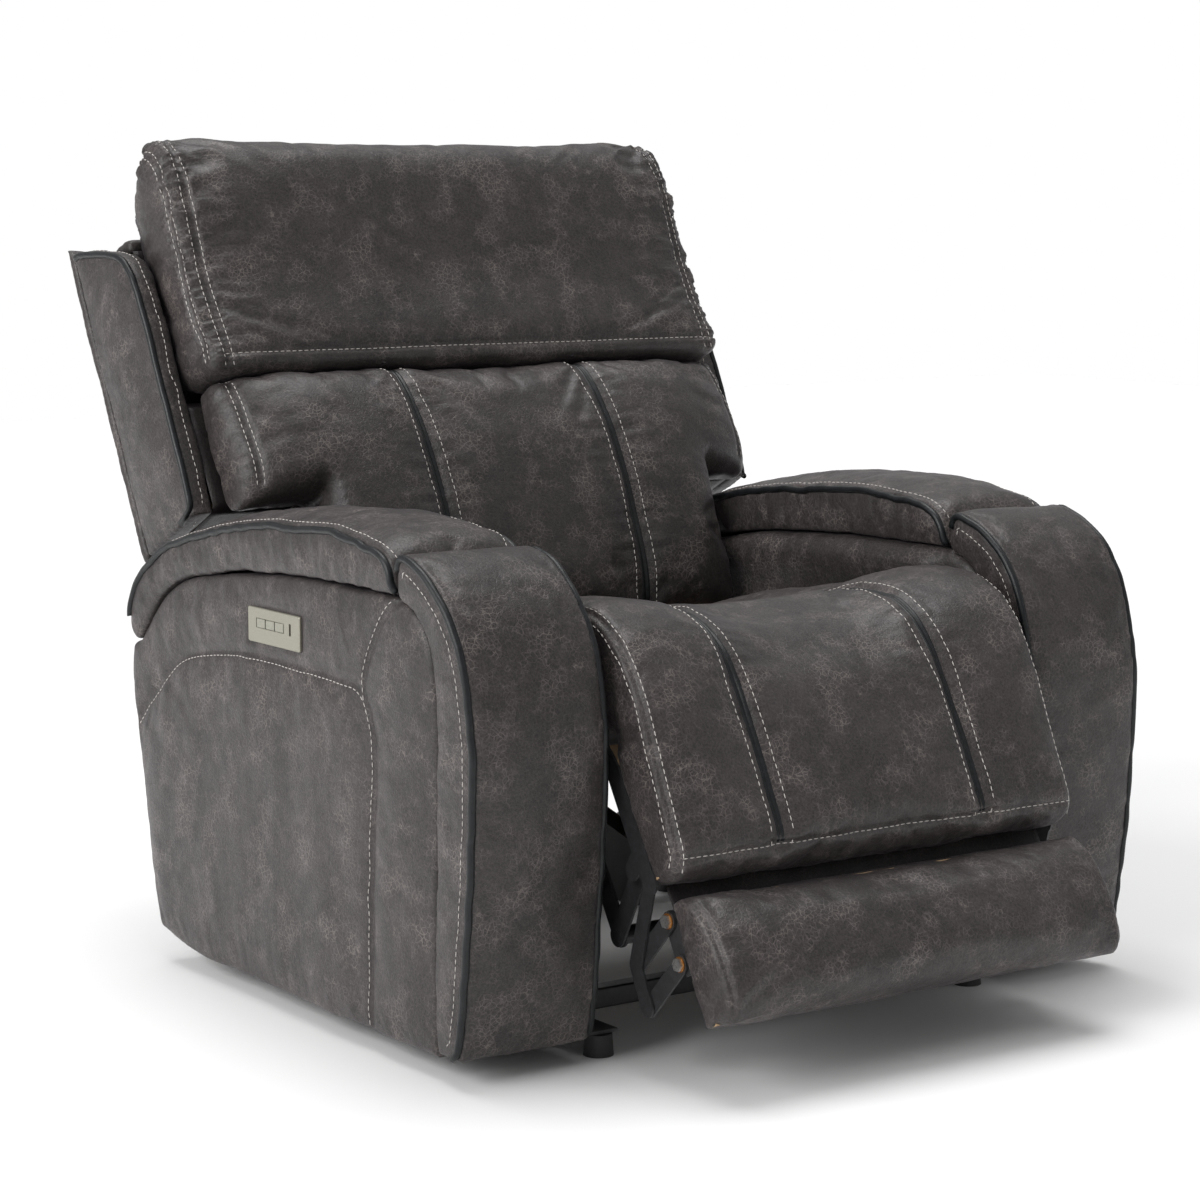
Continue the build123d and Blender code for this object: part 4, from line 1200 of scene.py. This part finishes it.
def on_back(s0, x0, s1, x1):
    """Straight line on the outside back, facing backwards."""
    ends = back_of([(s0, -112), (s1, -112)])
    line = even([(x0, *ends[0]), (x1, *ends[1])], 0.004)
    return line, np.tile([0, math.cos(BACK_LEAN), -math.sin(BACK_LEAN)], (len(line), 1))


def make_deck():
    """Cloth stretched behind the cushions, from wing to wing."""
    corners = [back_of(run) for run in ([(292, -93), (292, 48)], [(292, 48), (300, 58)],
                                        [(300, 58), (436, 58)], [(436, 58), (450, 40), (460, 20)],
                                        [(460, 20), (474, 17.8)], [(474, 17.8), (686, 17.8)])]
    run = np.vstack([even(part, 0.008)[:-1] for part in corners[:-1]] + [even(corners[-1], 0.008)])
    wing_wide = 32.6 * MM
    width = 2 * (BACK_HALF - wing_wide)
    wide = 90
    xs = np.linspace(-width / 2, width / 2, wide + 1)
    verts = [(x, y, z) for y, z in run for x in xs]
    faces = [[j * (wide + 1) + i, j * (wide + 1) + i + 1, (j + 1) * (wide + 1) + i + 1,
              (j + 1) * (wide + 1) + i] for j in range(len(run) - 1) for i in range(wide)]
    deck = put("back_deck_cloth", verts, faces)
    thick = deck.modifiers.new("thickness", "SOLIDIFY")
    thick.thickness = 1.0 * MM
    thick.offset = 0
    settle_modifiers(deck)
    # The darker hide copy here is painted shade behind the cushions
    dress(deck, hide_painted_shade, "back")


make_wings()
make_back_covers()
make_post_covers()
make_deck()


# ---- flap between the leg pad and the foot pad ----
def make_flap():
    """Thin wrinkled cloth that hangs behind the leg pad's lower edge."""
    low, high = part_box("leg_flap")
    width = high.x - low.x - 2 * MM
    wide, deep = 112, 18
    top, depth, wrinkle, wrinkle_long = 236, 88, 1.6, 0.030
    verts, faces = [], []
    for j in range(deep + 1):
        for i in range(wide + 1):
            x = -width / 2 + width * i / wide
            u = top + depth * j / deep
            wave = wrinkle * noise.noise(Vector((x / wrinkle_long, u / 60, 7.0))) * min(1, j / 5)
            y, z = leg_of([(u, 23 + wave)])[0]
            verts.append((x, y, z))
    for j in range(deep):
        for i in range(wide):
            a = j * (wide + 1) + i
            faces.append([a, a + 1, a + wide + 2, a + wide + 1])
    flap = put("leg_flap_cloth", verts, faces)
    thick = flap.modifiers.new("thickness", "SOLIDIFY")
    thick.thickness = 1.2 * MM
    thick.offset = 0
    settle_modifiers(flap)
    # The darker hide copy here is painted shade in the gap between the leg pad and the foot pad
    dress(flap, hide_painted_shade, "leg_rest", nodes=("leg_flap",))


make_flap()

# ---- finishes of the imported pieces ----
FINISH_OF = {
    "board": wood,
    "spring_steel": spring_grey,
    "black_steel": steel_black,
    "zinc": zinc,
    "bronze": bronze,
    "switch_metal": plate_metal,
    "button": button_cap,
    "black_plastic": plastic_black,
    "lining": lining,
    "upholstery": hide_main,
    "welt": welt_black,
    "thread": thread,
}
NODE_SLOT = {part["node"]: part.get("material_slot") for part in frame["record"].get("subparts", [])
             if "node" in part}
for name, node in frame["nodes"].items():
    chosen = FINISH_OF.get(NODE_SLOT.get(name) or "", None)
    if chosen is None:
        old = node.data.materials[0].name if node.data.materials else ""
        chosen = next((FINISH_OF[key] for key in FINISH_OF if key in old), steel_black)
    node.data.materials.clear()
    node.data.materials.append(chosen)

# ---- floor, light and camera ----
FLOOR = 9
floor = put("floor", [(x * FLOOR, y * FLOOR, 0) for x, y in ((-1, -1), (1, -1), (1, 1), (-1, 1))],
            [[0, 1, 2, 3]])
pale = Finish("pale_floor")
floor.data.materials.append(pale.finish(
    pale.ramp(pale.noise(scale=1.5, detail=2), (0.3, (0.90, 0.90, 0.90)), (0.7, (0.92, 0.92, 0.92))),
    pale.spread(pale.noise(scale=3.0, detail=2), low=0.75, high=0.85)))

world = bpy.data.worlds.new("studio")
world.use_nodes = True
backdrop = world.node_tree.nodes["Background"]
backdrop.inputs["Color"].default_value = (1, 1, 1, 1)
backdrop.inputs["Strength"].default_value = 0.42
seen = world.node_tree.nodes.new("ShaderNodeBackground")
choose = world.node_tree.nodes.new("ShaderNodeMixShader")
ray = world.node_tree.nodes.new("ShaderNodeLightPath")
world.node_tree.links.new(ray.outputs["Is Camera Ray"], choose.inputs[0])
world.node_tree.links.new(backdrop.outputs[0], choose.inputs[1])
world.node_tree.links.new(seen.outputs[0], choose.inputs[2])
world.node_tree.links.new(choose.outputs[0], world.node_tree.nodes["World Output"].inputs[0])
seen.inputs["Color"].default_value = (1, 1, 1, 1)
bpy.context.scene.world = world


def soft_sun(name, come_from, strength, width):
    """Even light from one direction, as wide as a large diffuser."""
    light = bpy.data.lights.new(name, "SUN")
    light.energy = strength
    light.angle = math.radians(width)
    sun = bpy.data.objects.new(name, light)
    sun.rotation_mode = "QUATERNION"
    sun.rotation_quaternion = (-Vector(come_from)).to_track_quat("-Z", "Y")
    bpy.context.scene.collection.objects.link(sun)


def softbox(name, at, target, width, height, power):
    """A soft rectangular lamp that faces its target."""
    light = bpy.data.lights.new(name, "AREA")
    light.shape = "RECTANGLE"
    light.size, light.size_y = width, height
    light.energy = power
    box = bpy.data.objects.new(name, light)
    box.location = at
    box.rotation_mode = "QUATERNION"
    box.rotation_quaternion = (Vector(target) - Vector(at)).to_track_quat("-Z", "Y")
    bpy.context.scene.collection.objects.link(box)


CENTRE = (0, 0, 0.5)
soft_sun("key_left", come_from=(-3.2, -0.5, 2.1), strength=1.30, width=30)
soft_sun("overhead", come_from=(0.3, 0.6, 3.0), strength=1.75, width=40)
softbox("left_panel", at=(-3.0, 0.6, 1.5), target=CENTRE, width=1.4, height=2.0, power=30)

CAMERA_AT = (-2.2878, -3.2646, 1.005)
CAMERA_DOWN, CAMERA_TURN = math.radians(7.646), math.radians(-34.785)
lens = bpy.data.cameras.new("camera")
lens.lens = 93.3
lens.sensor_width = 36
camera = bpy.data.objects.new("camera", lens)
camera.location = CAMERA_AT
camera.rotation_euler = (math.radians(90) - CAMERA_DOWN, 0, CAMERA_TURN)
bpy.context.scene.collection.objects.link(camera)
bpy.context.scene.camera = camera
bpy.context.scene.view_settings.view_transform = "Standard"
